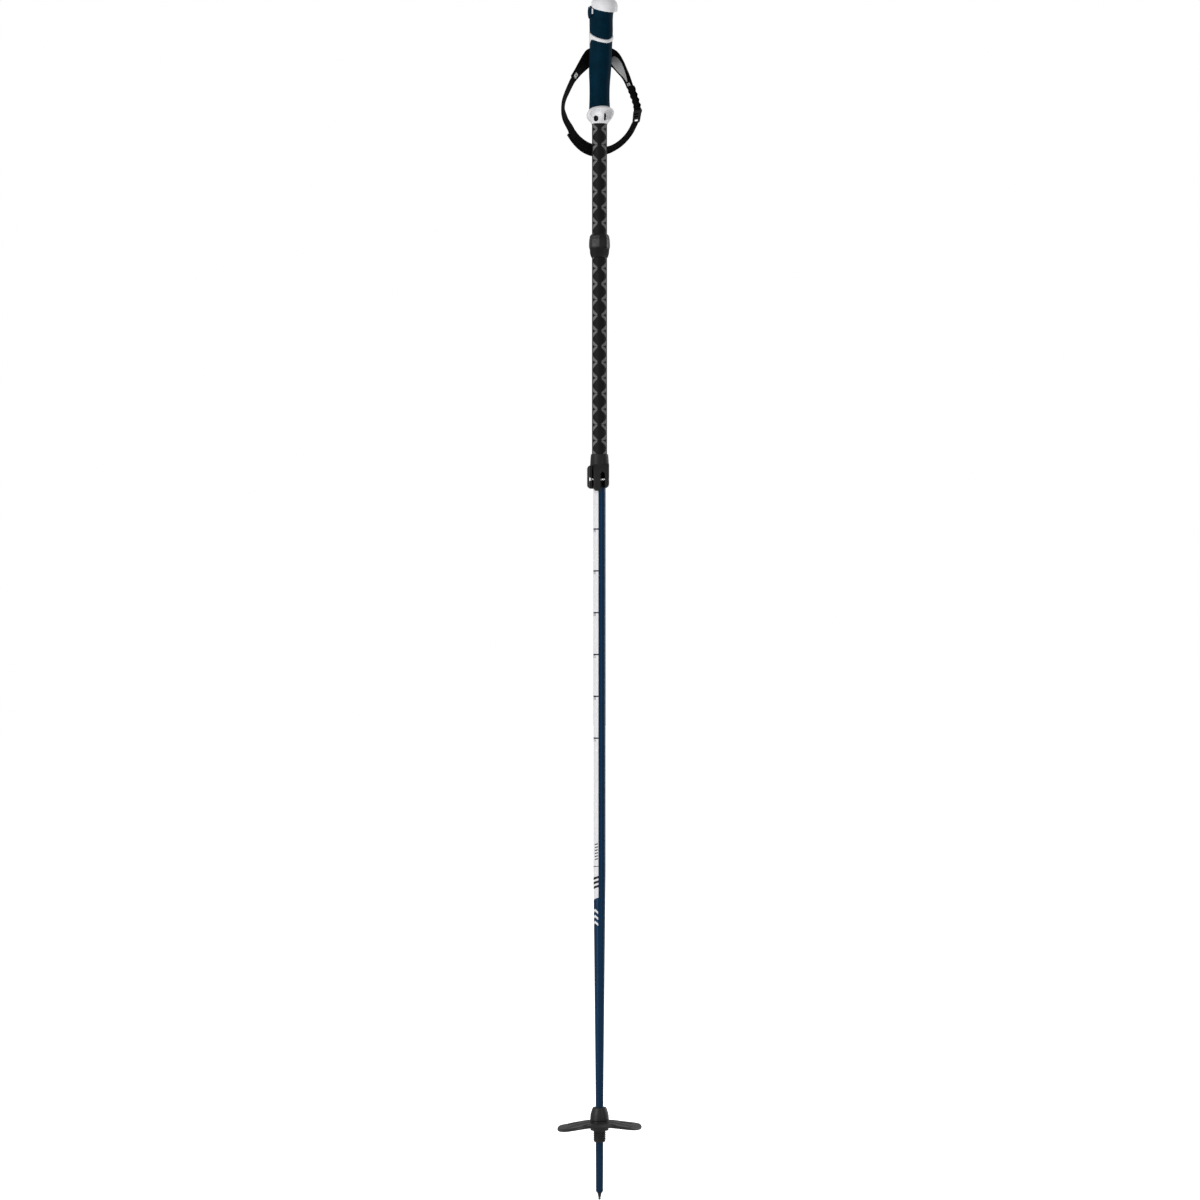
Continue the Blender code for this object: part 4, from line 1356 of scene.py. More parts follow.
@dataclass
class LengthLock:
    """Cam lever clamp: clamp with two ears, lever, barrel nut and tension screw."""

    turn: float = -22.0
    pivot: Tuple[float, float] = (-11.0, -13.0)
    screw_z: float = 870.4
    screw_r: float = 1.5
    root_r: float = 1.38
    screw_pitch: float = 0.6
    lower_bore_r: float = 7.75
    upper_bore_r: float = 8.7
    ear_front: float = -16.5
    fork: float = 1.9
    lever_low: float = 859.8
    lever_high: float = 887.2

    def clamp(self) -> bpy.types.Object:
        """Collar and ear block joined, bored, slotted and drilled, then rounded like a moulding.

        Returns:
            The piece as an object.
        """
        collar = [(0.5, 860.4), (8.4, 860.4), (10.8, 862.2), (11.6, 865.0), (11.6, 884.0),
                  (11.3, 889.5), (11.07, 894.0), (10.72, 898.5), (10.3, 901.3), (0.5, 901.3)]
        body = skin("lock_clamp", turned_z(around(collar, 128), self.turn))
        ears = []
        for y, inset, top in ((self.ear_front, 1.2, 881.0), (self.ear_front + 1.2, 0.0, 883.0),
                              (-11.5, 0.0, 888.0), (-4.0, 0.0, 890.0)):
            ears.append([(x, y, z) for x, z in (
                (-7.3 + inset, top), (-7.3 + inset, 859.0), (-4.8, 856.8 + inset), (1.2, 856.8 + inset),
                (2.0, 861.3 + inset), (8.6, 861.3 + inset), (11.6 - inset, 864.6), (11.6 - inset, top))])
        block = skin("ear_block", turned_z(np.array(ears), self.turn))
        combine(body, "UNION", block)
        bore = around([(self.lower_bore_r, 850.0), (self.lower_bore_r, 884.5),
                       (self.upper_bore_r, 884.5), (self.upper_bore_r, 910.0)], 128)
        slot = [(x, z) for x, z in ((1.2, 850.0), (6.6, 850.0), (6.6, 877.0), (3.9, 880.5), (1.2, 877.0))]
        gap = np.array([[(x, y, z) for x, z in slot] for y in (-20.0, -3.0)])
        drill = [(self.screw_r + 0.3, -9.0), (self.screw_r + 0.3, 9.4), (2.5, 9.4), (2.5, 14.0)]
        hole = along_x(around(drill, 48), self.pivot[1], self.screw_z)
        cutters = [skin("bore_cutter", bore), skin("slot_cutter", turned_z(gap, self.turn)),
                   skin("hole_cutter", turned_z(hole, self.turn))]
        combine(body, "DIFFERENCE", *cutters)
        return soften(body, 0.34, 3)

    def lever(self) -> bpy.types.Object:
        """Cam nose and an arm that wraps the clamp, forked round the screw.

        Its height shrinks towards the left by a quarter circle, so its corners are round.

        Returns:
            The piece as an object.
        """
        x, y = self.pivot
        cam = arc(x, y, 3.1, 20, -170, 24)
        arm = arc(0, 0, 15.1, 190, 128, 28) + arc(0, 0, 12.0, 125, 205, 28)
        lever = prism("cam_lever", cam + arm, self.lever_low, self.lever_high)
        corners = [(-17.0, -18.0), (-6.0, -18.0), (-6.0, y + 1.9), (-17.0, y + 1.9)]
        fork = prism("fork_cutter", corners, self.screw_z - self.fork, self.screw_z + self.fork)
        bore = np.array([(x, y, 0.0)]) + around([(2.0, 850.0), (2.0, 890.0)], 48)
        finger = arc(-19.5, 4.5, 5.2, 0, 360, 40)[:-1]
        dish = prism("finger_cutter", finger, 866.0, 881.0, 2.0)
        combine(lever, "DIFFERENCE", fork, skin("pivot_cutter", bore), dish)
        lever = soften(lever, 0.3, 4)
        points = corners_of(lever.data)
        middle = (self.lever_low + self.lever_high) / 2 * MM
        far = np.clip((-10.6 * MM - points[:, 0]) / (4.6 * MM), 0.0, 1.0)
        shrunk = 0.36 * (1.0 - np.sqrt(1.0 - 0.95 * far**2))
        points[:, 2] = middle + (points[:, 2] - middle) * (1.0 - shrunk)
        lever.data.vertices.foreach_set("co", turned_z(points, self.turn).ravel())
        return lever

    def barrel(self) -> bpy.types.Object:
        """Barrel nut on the lever's pivot, with rounded ends.

        Returns:
            The piece as an object.
        """
        profile = [(1.3, 860.5), (1.6, 860.7), (1.7, 861.1), (1.7, 885.4), (1.6, 885.8), (1.3, 886.0)]
        grid = around(profile, 48) + np.array([self.pivot[0], self.pivot[1], 0.0])
        return skin("barrel_nut", turned_z(grid, self.turn))

    def shim(self) -> bpy.types.Object:
        """Black ring between the clamp and the shaft, a painted shade that darkens the inside of the
        slot.
        """
        ring = around([(7.52, 861.2), (7.7, 861.2), (7.7, 884.2), (7.52, 884.2)], 96)
        return skin("slot_shade_ring", ring, wrap_rows=True)

    def screw(self) -> bpy.types.Object:
        """Tension screw: a threaded shank and a round head with a six-sided recess.

        The recess rows use r = 1.2 cos(30) / cos(angle within a sixth).

        Returns:
            The piece as an object.
        """
        angle = full_turn(72)
        z = np.linspace(-8.7, 9.2, 200)
        raised = thread(z[:, None], angle, self.screw_pitch, 0.15, 0.85)
        radius = self.root_r + (self.screw_r - self.root_r) * raised
        shank = polar(radius, angle, z[:, None])
        head = around([(1.5, 9.6), (2.0, 9.7), (2.2, 9.9), (2.2, 11.0), (2.0, 11.4),
                       (1.55, 11.4)], 72)
        six = 1.2 * math.cos(math.pi / 6) / np.cos((angle % (TAU / 6)) - TAU / 12)
        rows = ((1.0, 11.35), (1.0, 10.4), (0.9, 10.3))
        recess = np.stack([polar(six * share, angle, level) for share, level in rows])
        grid = along_x(np.concatenate([shank, head, recess]), self.pivot[1], self.screw_z)
        return skin("clamp_screw", turned_z(grid, self.turn))

    def build(self, shop: Workshop) -> None:
        """Build and fit the five pieces.

        Args:
            shop: Workshop that dresses and fits the pieces.
        """
        shop.fit(self.clamp(), Body.UPPER, Slot.CHARCOAL_PLASTIC, "clamp_body", crease=60.0)
        shop.fit(self.lever(), Body.LEVER, Slot.BLACK_RUBBER, "lock_lever", crease=60.0)
        shop.fit(self.barrel(), Body.UPPER, Slot.STEEL, "lever_barrel")
        # Dark ring that paints the shade inside the clamp's slot.
        shop.fit(self.shim(), Body.UPPER, Slot.BLACK_RUBBER)
        shop.fit(self.screw(), Body.SCREW, Slot.STEEL, "tension_screw")


# ---- grip ---------------------------------------------------------------------------


@dataclass
class Grip:
    """Rubber grip with its white hand stop, slanted ring, cap and hook."""

    bore_r: float = 10.6
    tube_bore_r: float = 8.8
    pocket_rib_x: float = -2.4
    ring_lift: float = 2.9
    cap_foot_z: float = 1436.9
    cap_forward: float = 16.0
    cap_slope: float = 0.36
    head_back_z: float = 1443.6
    segments: int = 128

    def seam(self, y: Array) -> Array:
        """Height of the seam under the ring: two slants that meet in a rounded ridge."""
        front, back = 1403.6 + 0.45 * y, 1396.0 - 0.8 * y
        return (front + back) / 2 - np.hypot((front - back) / 2, 2.0) + 1.0

    def on_seam(self, a: float, b: float, forward: float, height: float) -> Array:
        """One oval ring laid on the seam, plus a height.

        Args:
            a: Half width of the oval.
            b: Half depth of the oval.
            forward: How far its middle lies to the front.
            height: Distance above the seam.

        Returns:
            Grid of one row.
        """
        ring = ovals(np.array([(0.0, a, b, forward, 0.0)]), self.segments)
        ring[..., 2] = self.seam(ring[..., 1]) + height
        return ring

    def raised_right(self, grid: Array) -> Array:
        """Lift points to the right of the middle near the seam, where the white ring climbs.

        The lift is a smoothstep of x times a bell curve of the height above 1401.

        Args:
            grid: Grid of points.

        Returns:
            The grid with its heights changed.
        """
        near = np.exp(-((grid[..., 2] - 1401.0) / 10.0)**2)
        lift = self.ring_lift * near * smoothstep(grid[..., 0], 0.0, 13.0)
        return np.concatenate([grid[..., :2], (grid[..., 2] + lift)[..., None]], axis=-1)

    def flange(self) -> bpy.types.Object:
        """Hand stop, hollowed by two front pockets that open into dark holes beside a rib.

        Returns:
            The piece as an object.
        """
        bore = self.tube_bore_r
        outside = [(1300.5, 9.9, 9.9, 0.0, 0.0), (1302.5, 10.8, 11.2, 0.4, 0.0),
                   (1306.5, 14.0, 15.0, 1.6, -0.15), (1310.5, 16.2, 17.0, 2.5, -0.28),
                   (1313.2, 16.4, 17.2, 2.5, -0.28), (1315.8, 14.9, 15.8, 1.5, -0.24),
                   (1318.0, 13.0, 14.1, 0.4, -0.2)]
        rows = np.vstack([[(1300.3, bore, bore, 0.0, 0.0)], smooth_curve(outside, 60),
                          [(1318.2, bore, bore, 0.0, -0.2)]])
        flange = skin("hand_stop", ovals(rows, self.segments), wrap_rows=True)
        rib = self.pocket_rib_x
        hollows = (((rib - 9.4, -15.4, 1310.0), (8.2, 9.6, 6.6)),
                   ((rib + 8.9, -16.2, 1310.2), (7.4, 9.6, 6.4)),
                   ((rib - 5.2, -10.0, 1306.2), (3.1, 8.5, 4.0)),
                   ((rib + 4.7, -11.0, 1308.3), (2.8, 10.2, 5.0)))
        cutters = [skin(f"pocket_cutter_{i}", ellipsoid(centre, half))
                   for i, (centre, half) in enumerate(hollows)]
        combine(flange, "DIFFERENCE", *cutters)
        return soften(flange, 0.3, 3)

    def lining(self) -> bpy.types.Object:
        """Dark sleeve inside the hand stop, seen through the pockets' holes."""
        ring = around([(8.62, 1300.6), (8.76, 1300.6), (8.76, 1317.6), (8.62, 1317.6)], 96)
        return skin("stop_lining", ring, wrap_rows=True)

    def body_cover(self) -> bpy.types.Object:
        """Long rubber cover, waisted for the fingers, with rounded ends.

        Returns:
            The piece as an object.
        """
        stations = [(1318.9, 12.5, 13.6, 0.0, -0.2), (1324.2, 12.3, 13.5, 0.0, -0.1),
                    (1331.4, 12.0, 13.4, 0.0, 0.0), (1341.1, 12.0, 13.4, 0.2, 0.0),
                    (1350.8, 12.3, 13.9, 0.6, 0.0), (1360.5, 12.9, 14.8, 1.2, 0.0),
                    (1370.1, 13.2, 15.4, 2.2, 0.05), (1378.8, 13.1, 15.8, 3.2, 0.12)]
        outside = ovals(smooth_curve(stations, 90), self.segments)
        foot = ovals([(1318.4, self.bore_r, self.bore_r, 0.0, -0.2), (1318.5, 12.0, 13.1, 0.0, -0.2)],
                     self.segments)
        rise = np.linspace(0.08, 1.0, 24)[:, None, None]
        top = self.on_seam(13.1, 16.8, 5.2, 0.25)
        neck = outside[-1:] + (top - outside[-1:]) * rise
        lip = [self.on_seam(12.9, 16.6, 5.2, 0.55), self.on_seam(self.bore_r, self.bore_r, 0.0, 0.5)]
        grid = np.concatenate([foot, outside, neck] + lip)
        return skin("long_cover", self.raised_right(grid), wrap_rows=True)

    def ring(self) -> bpy.types.Object:
        """White ring between the covers; its lower edge follows the seam.

        Returns:
            The piece as an object.
        """
        low = [self.on_seam(self.bore_r, self.bore_r, 0.0, 0.75), self.on_seam(13.2, 16.9, 5.3, 0.75),
               self.on_seam(13.8, 17.4, 5.4, 0.95), self.on_seam(14.15, 17.75, 5.5, 1.5)]
        upper = [(1406.0, 14.25, 17.85, 5.5, 0.5), (1407.0, 14.1, 17.75, 5.5, 0.5),
                 (1407.7, 13.5, 17.4, 5.4, 0.52), (1410.5, self.bore_r, self.bore_r, 0.0, 0.52)]
        grid = np.concatenate(low + [ovals(upper, self.segments)])
        return skin("slanted_ring", self.raised_right(grid), wrap_rows=True)

    def head_cover(self) -> bpy.types.Object:
        """Rubber cover between the ring and the cap, cut flat at the back.

        Returns:
            The piece as an object.
        """
        foot_z = self.cap_foot_z + self.cap_slope * (self.cap_forward - 7.5) - 0.4
        outside = [(1408.6, 13.4, 17.2, 5.45, 0.52), (1414.6, 13.6, 17.2, 5.4, 0.3),
                   (1424.5, 13.6, 17.2, 5.2, 0.1), (1431.8, 13.6, 17.8, 5.8, 0.15),
                   (foot_z, 13.8, 19.5, 7.5, self.cap_slope)]
        low = ovals([(1410.8, self.bore_r, self.bore_r, 0.0, 0.52), (1408.2, 13.0, 16.8, 5.45, 0.52)],
                    self.segments)
        body = ovals(smooth_curve(outside, 60), self.segments)
        lid = ovals([(foot_z + 0.1, 12.0, 17.5, 7.5, self.cap_slope)], self.segments)
        grid = np.concatenate([low, body, lid])
        grid[..., 2] = np.minimum(grid[..., 2], self.head_back_z)
        inner = ovals([(1434.2, self.bore_r, self.bore_r, 0.0, 0.0)], self.segments)
        return skin("head_cover", self.raised_right(np.concatenate([inner, grid])))

    def cap(self) -> bpy.types.Object:
        """White cap that leans forward, domed, with a fine shadow line near its foot.

        Returns:
            The piece as an object.
        """
        slope, forward, z = self.cap_slope, self.cap_forward, self.cap_foot_z
        stations = [(z, 14.0, 18.6, forward, slope), (z + 0.25, 14.55, 19.2, forward, slope),
                    (z + 1.6, 15.0, 19.6, forward, 0.35), (1441.0, 15.1, 19.65, forward, 0.3),
                    (1443.6, 15.0, 19.3, forward, 0.25), (1446.2, 14.1, 18.1, 15.6, 0.17),
                    (1448.2, 12.0, 15.6, 15.0, 0.1), (1449.4, 8.4, 11.2, 14.0, 0.03),
                    (1450.0, 3.2, 4.4, 13.0, 0.0)]
        return skin("grip_cap_domed", ovals(smooth_curve(stations, 70), self.segments))

    def head_band(self, name: str, offsets: Tuple[float, float], low: float, high: float,
                  start: float, end: float, bow: float = 0.0) -> bpy.types.Object:
        """Strip on the outside of the head that stays below the cap's slanted foot.

        At an angle t from the right-hand side it stands at ((13.75 + offset) cos t,
        (18.7 + offset) sin t - 6.7), and its top is the lower of its own and the cap's foot.
        The offset drops by the bow towards its upper and lower edge, as a sine does.

        Args:
            name: Name of the piece.
            offsets: Distances of its inner and outer face from the oval.
            low: Height of its foot.
            high: Height of its top.
            start: Angle at which it starts.
            end: Angle at which it ends.
            bow: How far its edges draw in.

        Returns:
            The piece as an object.
        """
        angle = np.radians(np.linspace(start, end, 60))[:, None]
        corners = rounded([(0.0, 0.0), (1.0, 0.0), (1.0, 1.0), (0.0, 1.0)], 0.28, 5)
        closed = np.vstack([corners, corners[:1]])
        section = np.column_stack([np.interp(np.linspace(0.0, len(corners), 72, endpoint=False),
                                             np.arange(len(closed)), closed[:, k]) for k in (0, 1)])
        offset = offsets[0] + (offsets[1] - offsets[0]) * section[:, 0]
        y_foot = 18.7 * np.sin(angle) - 6.7
        top = np.minimum(high, self.cap_foot_z + self.cap_slope * (y_foot + self.cap_forward) - 1.2)
        z = low + (top - low) * section[:, 1]
        offset = offset - bow * (1.0 - np.sin(np.pi * section[:, 1]))
        x, y = (13.75 + offset) * np.cos(angle), (18.7 + offset) * np.sin(angle) - 6.7
        return skin(name, np.stack([x, y, z], axis=-1))

    def build(self, shop: Workshop) -> None:
        """Build and fit the grip's pieces.

        Args:
            shop: Workshop that dresses and fits the pieces.
        """
        shop.fit(self.flange(), Body.UPPER, Slot.WHITE_PLASTIC, "grip_flange", crease=70.0)
        shop.fit(self.body_cover(), Body.UPPER, Slot.NAVY_RUBBER, "grip_body_cover")
        shop.fit(self.ring(), Body.UPPER, Slot.WHITE_PLASTIC, "grip_ring", crease=50.0)
        shop.fit(self.head_cover(), Body.UPPER, Slot.NAVY_RUBBER, "grip_head_cover")
        shop.fit(self.cap(), Body.UPPER, Slot.WHITE_PLASTIC, "grip_cap", crease=60.0)
        inlay = self.head_band("white_inlay", (0.35, 0.95), 1431.0, 1441.0, 76.0, 199.0)
        shop.fit(inlay, Body.UPPER, Slot.WHITE_PLASTIC, "head_inlay")
        hook = self.head_band("back_hook", (1.25, 2.3), 1428.4, 1442.2, 60.0, 191.0, 0.75)
        shop.fit(hook, Body.UPPER, Slot.NAVY_RUBBER, "riser_hook")
        shop.fit(self.lining(), Body.UPPER, Slot.BLACK_SLEEVE)


@dataclass
class StrapAnchor:
    """White bracket behind the grip and the pin that carries the strap."""

    y: float = PIN_Y
    z: float = PIN_Z

    def build(self, shop: Workshop) -> None:
        """Build and fit the bracket and its pin.

        Args:
            shop: Workshop that dresses and fits the pieces.
        """
        y, z = self.y, self.z
        foot = arc(y, z, 2.6, 180, 360, 24)
        outline = [(12.4, 1416.5), (12.4, z)] + foot + [(y + 2.6, 1412.5), (15.2, 1416.5)]
        bracket = prism("strap_bracket", outline, -6.0, 6.0, 0.0, axes=(2, 0, 1))
        window = [(10.0, 1390.0), (20.0, 1390.0), (20.0, 1411.0), (10.0, 1411.0)]
        drill = along_x(around([(1.5, -9.0), (1.5, 9.0)], 32), y, z)
        combine(bracket, "DIFFERENCE", prism("window_cutter", window, -3.5, 3.5, 0.0, axes=(2, 0, 1)),
                skin("pin_cutter", drill))
        shop.fit(soften(bracket, 0.2, 3), Body.UPPER, Slot.WHITE_PLASTIC, "strap_anchor", crease=60.0)
        profile = [(0.9, -6.2), (1.15, -6.1), (1.2, -5.9), (1.2, 5.9), (1.15, 6.1), (0.9, 6.2)]
        pin = skin("cross_pin", along_x(around(profile, 32), y, z))
        shop.fit(pin, Body.UPPER, Slot.STEEL, "strap_pin")


# ---- strap --------------------------------------------------------------------------


@dataclass
class Band:
    """Flat band carried along a path.

    A station is (x, y, z, width, roll). The path lies near the XZ plane and runs clockwise
    seen from the front; at roll 0 the width points out of the strap's loop, and at 90 the
    outer edge has turned to the front. The section is |a|^p + |b|^p = 1, stretched to the
    width and the thickness.
    """

    stations: Sequence
    thickness: float
    rows: int = 60
    power: float = 9.0
    columns: int = 44

    def read(self) -> Array:
        """Stations read from the smooth curve through the given ones."""
        return smooth_curve(self.stations, self.rows)

    def frames(self) -> Tuple[Array, Array, Array, Array]:
        """Centre, unit direction along, unit direction across and unit face normal of each row.

        Returns:
            Four arrays of rows.
        """
        read = self.read()
        centre, roll = read[:, :3], np.radians(read[:, 4:5])
        along = np.gradient(centre, axis=0)
        along /= np.linalg.norm(along, axis=1, keepdims=True)
        outward = np.stack([-along[:, 2], 0.0 * along[:, 1], along[:, 0]], axis=-1)
        outward /= np.linalg.norm(outward, axis=1, keepdims=True)
        across = outward * np.cos(roll) - np.array([0.0, 1.0, 0.0]) * np.sin(roll)
        normal = np.cross(along, across)
        normal /= np.linalg.norm(normal, axis=1, keepdims=True)
        return centre, along, across, normal

    def lengths(self) -> Array:
        """Distance of each row from the band's start."""
        steps = np.linalg.norm(np.diff(self.read()[:, :3], axis=0), axis=1)
        return np.concatenate([[0.0], np.cumsum(steps)])

    def solid(self, name: str, wave: Optional[Callable[[Array], Array]] = None) -> bpy.types.Object:
        """Mesh of the band.

        Args:
            name: Name of the object.
            wave: Offset along the normal, in millimetres, as a function of the distance along.

        Returns:
            The band, with surface coordinates in millimetres: across, then along.
        """
        centre, _, across, normal = self.frames()
        width, far = self.read()[:, 3:4], self.lengths()
        if wave is not None:
            centre = centre + normal * wave(far)[:, None]
        a, b = squared_oval(self.columns, self.power)
        grid = (centre[:, None] + across[:, None] * (width * a / 2)[..., None]
                + normal[:, None] * (self.thickness * b / 2)[None, :, None])
        u = np.append(a, a[0]) * width / 2
        uv = np.stack([u, far[:, None] + 0.0 * u], axis=-1)
        return skin(name, grid, uv=uv)

    def lifted(self, height: float, start: float, end: float, widths: Sequence[float],
               shift: float = 0.0) -> List[Tuple]:
        """Stations of a band laid on this one's face.

        Args:
            height: Distance between the two bands' middles, along the normal.
            start: Share of this band's rows at which it starts.
            end: Share at which it ends.
            widths: Its widths, evenly spread.
            shift: Distance that it is moved across.

        Returns:
            One station for each width.
        """
        centre, _, across, normal = self.frames()
        rows = np.linspace(start, end, len(widths)) * (self.rows - 1)
        pick = np.round(rows).astype(int)
        place = centre[pick] + normal[pick] * height + across[pick] * shift
        return [(*point, width, roll) for point, width, roll in zip(place, widths, self.read()[pick, 4])]

    def stitches(self, name: str, inset: float, start: float = 0.03, end: float = 0.97,
                 sides: Sequence[float] = (-1.0, 1.0), pitch: float = 3.0) -> bpy.types.Object:
        """Rows of stitches along the band's face.

        Each is a small egg, (cos t sin p, sin t sin p, cos p) stretched along the seam, and all
        of them share one mesh.

        Args:
            name: Name of the object.
            inset: Distance of a row from the edge.
            start: Share of the band's length at which the rows start.
            end: Share at which they end.
            sides: -1 for the inner edge's row and 1 for the outer edge's.
            pitch: Distance between stitches.

        Returns:
            The stitches as an object.
        """
        centre, along, across, normal = self.frames()
        far, width = self.lengths(), self.read()[:, 3]
        place = np.arange(start * far[-1], end * far[-1], pitch)
        spots = []
        for side in sides:
            offset = np.interp(place, far, side * (width / 2 - inset))
            mid, run, out, up = (np.stack([np.interp(place, far, part[:, k]) for k in range(3)], axis=-1)
                                 for part in (centre, along, across, normal))
            seam = mid + out * offset[:, None] + up * self.thickness * 0.49
            spots.append(np.stack([seam, run, out, up], axis=1))
        spot = np.concatenate(spots)
        half = (0.3, 0.22, 1.05)
        egg = ellipsoid((0, 0, 0), half, 4, 8)
        flat = np.vstack([egg.reshape(-1, 3), (0, 0, half[2]), (0, 0, -half[2])])
        points = (spot[:, None, 0] + flat[None, :, 2:3] * spot[:, None, 1]
                  + flat[None, :, 0:1] * spot[:, None, 2] + flat[None, :, 1:2] * spot[:, None, 3])
        shift = (np.arange(len(spot)) * len(flat))[:, None, None]
        quads, fans = (faces[:, ::-1] + shift for faces in grid_faces(*egg.shape[:2], False))
        mesh = bpy.data.meshes.new(name)
        mesh.from_pydata((points.reshape(-1, 3) * MM).tolist(), [],
                         quads.reshape(-1, 4).tolist() + fans.reshape(-1, 3).tolist())
        mesh.uv_layers.new(name="surface")
        return linked(name, mesh)


def on_depth(stations: Sequence, start: float, end: float) -> List[Tuple]:
    """Stations (x, z, width, roll) given a y that runs evenly from start to end."""
    depth = np.linspace(start, end, len(stations))
    return [(x, y, z, width, roll) for (x, z, width, roll), y in zip(stations, depth)]


@dataclass
class Strap:
    """Hand strap: yoke behind the grip, webbing down both sides, pad behind the shaft."""

    pivot_y: float = PIN_Y
    pivot_z: float = PIN_Z
    loop_r: float = 2.1
    tab_half: float = 3.2
    tab_thickness: float = 1.0
    tab_length: float = 32.0
    webbing: float = 1.4
    yoke_thickness: float = 1.8
    fold_length: float = 6.6

    def hanger(self) -> bpy.types.Object:
        """Webbing tab from the yoke, looped over the pin: a flat section swept in the YZ plane.

        Returns:
            The piece as an object.
        """
        y, z, r = self.pivot_y, self.pivot_z, self.loop_r
        back = y + r + 0.8
        rise = [(back, 1379.5), (back, 1385.0), (back, 1390.0), (y + r + 0.2, 1395.0)]
        line = smooth_curve(rise + arc(y, z, r, 0, 285, 14), 90)
        along = np.gradient(line, axis=0)
        along /= np.linalg.norm(along, axis=1, keepdims=True)
        a, b = squared_oval(36, 9.0)
        x = self.tab_half * a + 0.0 * line[:, :1]
        py = line[:, :1] + along[:, 1:] * b * self.tab_thickness / 2
        pz = line[:, 1:] - along[:, :1] * b * self.tab_thickness / 2
        far = np.linspace(0.0, self.tab_length, len(line))[:, None]
        u = np.append(a, a[0]) * self.tab_half
        uv = np.stack([u + 0.0 * far, far + 0.0 * u], axis=-1)
        return skin("hanger_tab", np.stack([x, py, pz], axis=-1), uv=uv)

    def yoke(self) -> Band:
        """Broad band behind the grip that twists as it runs down to both sides.

        Returns:
            The band.
        """
        left = [(-28.6, 15.6, 1355.6, 14.0, 45), (-23.0, 15.5, 1363.2, 15.0, 41),
                (-17.6, 15.4, 1370.4, 16.5, 33), (-9.3, 15.2, 1380.2, 19.0, 18)]
        middle = [(-3.4, 15.2, 1384.6, 20.5, 0), (3.4, 15.2, 1384.8, 20.5, 0)]
        right = [(12.0, 15.2, 1387.2, 20.5, 18), (22.0, 15.3, 1385.4, 20.0, 40),
                 (29.2, 15.3, 1378.4, 19.0, 55), (35.1, 15.3, 1370.6, 17.0, 65),
                 (40.3, 15.5, 1363.4, 15.5, 75), (44.1, 15.6, 1356.1, 14.4, 80),
                 (46.6, 15.7, 1350.0, 14.0, 81)]
        return Band(left + middle + right, self.yoke_thickness, 180, 7.0, 64)

    def left_webbing(self) -> Band:
        """Webbing from the pad up to the yoke's left end, its ends tucked behind both."""
        path = [(-28.8, 1292.6, 14, 34), (-30.6, 1296.2, 14, 36), (-36.4, 1305.3, 14, 40),
                (-39.1, 1312.6, 14, 45), (-40.4, 1319.8, 14, 54), (-39.8, 1327.1, 13.8, 55),
                (-37.6, 1334.3, 13.4, 54), (-34.4, 1341.6, 13.0, 51), (-29.6, 1351.6, 12.6, 48),
                (-26.4, 1357.0, 12.0, 45)]
        return Band(on_depth(path, 18.6, 16.9), self.webbing, 110)

    def pad(self) -> Band:
        """Thicker, wider wrist pad behind the shaft, with a square-cut end."""
        path = [(7.4, 1270.8, 18, 32), (0.0, 1271.0, 18, 27), (-7.5, 1272.6, 18, 25),
                (-15.4, 1276.4, 18, 25), (-23.8, 1283.2, 18, 29), (-30.9, 1292.0, 18, 32)]
        return Band(on_depth(path, 18.0, 17.5), 2.6, 90, 5.0, 56)

    def lower_webbing(self) -> Band:
        """Webbing from the buckle down to the pad."""
        path = [(54.3, 1308.2, 13.4, 78), (53.4, 1306.6, 14, 80), (51.0, 1301.7, 14, 80),
                (46.8, 1294.4, 14, 77), (40.9, 1287.2, 14, 73), (33.6, 1280.6, 14, 68),
                (26.0, 1275.8, 14, 62), (17.0, 1272.2, 14, 50), (8.4, 1270.9, 14, 36),
                (3.0, 1270.8, 13.6, 31)]
        return Band(on_depth(path, 16.9, 19.3), self.webbing, 110)

    def right_webbing(self) -> Band:
        """Webbing from the yoke's right end down to the buckle."""
        path = [(45.6, 1353.2, 12.4, 80), (47.4, 1349.0, 12.4, 80), (50.2, 1341.6, 12.2, 82),
                (53.0, 1334.3, 12.2, 85), (55.0, 1328.0, 12.2, 82), (56.0, 1323.4, 12.2, 80),
                (56.6, 1318.0, 11.0, 76), (56.0, 1312.6, 11.0, 76)]
        return Band(on_depth(path, 15.9, 17.6), self.webbing, 140)

    def buckle(self) -> bpy.types.Object:
        """Ladder buckle: a plate with two bars, a thumb lip and an open window at its foot.

        It is drawn flat, across by along by thickness, and then carried to its place on the
        band by the band's own directions there.

        Returns:
            The piece as an object.
        """
        seat = Band([(56.6, 16.7, 1322.8, 15.0, 75), (54.7, 16.85, 1307.2, 15.0, 75)], 2.6, 2)
        centre, along, across, normal = (part[0] for part in seat.frames())
        outline = rounded([(-6.9, 0.6), (7.2, -0.2), (7.6, 4.2), (6.4, 15.4), (-6.2, 15.4)], 1.8, 6)
        plate = prism("ladder_lock", outline, -1.15, 1.15, 0.3)
        lip = prism("thumb_lip", rounded([(-5.6, -0.8), (6.6, -1.2), (6.6, 3.2), (-5.6, 3.2)], 1.2, 5),
                    -2.6, -0.9, 0.4)
        combine(plate, "UNION", lip)
        cutters = []
        for a, b, c, d in ((-4.8, 4.2, 4.8, 5.8), (-4.8, 7.6, 4.8, 9.2), (-4.2, 11.4, 4.4, 13.8)):
            hole = rounded([(a, b), (c, b), (c, d), (a, d)], 0.6, 4)
            cutters.append(prism("window_cutter", hole, -5.0, 5.0))
        combine(plate, "DIFFERENCE", *cutters)
        flat = corners_of(plate.data)
        placed = (centre * MM + flat[:, 0:1] * across + flat[:, 1:2] * along + flat[:, 2:3] * normal)
        plate.data.vertices.foreach_set("co", placed.ravel())
        return soften(plate, 0.2, 3)

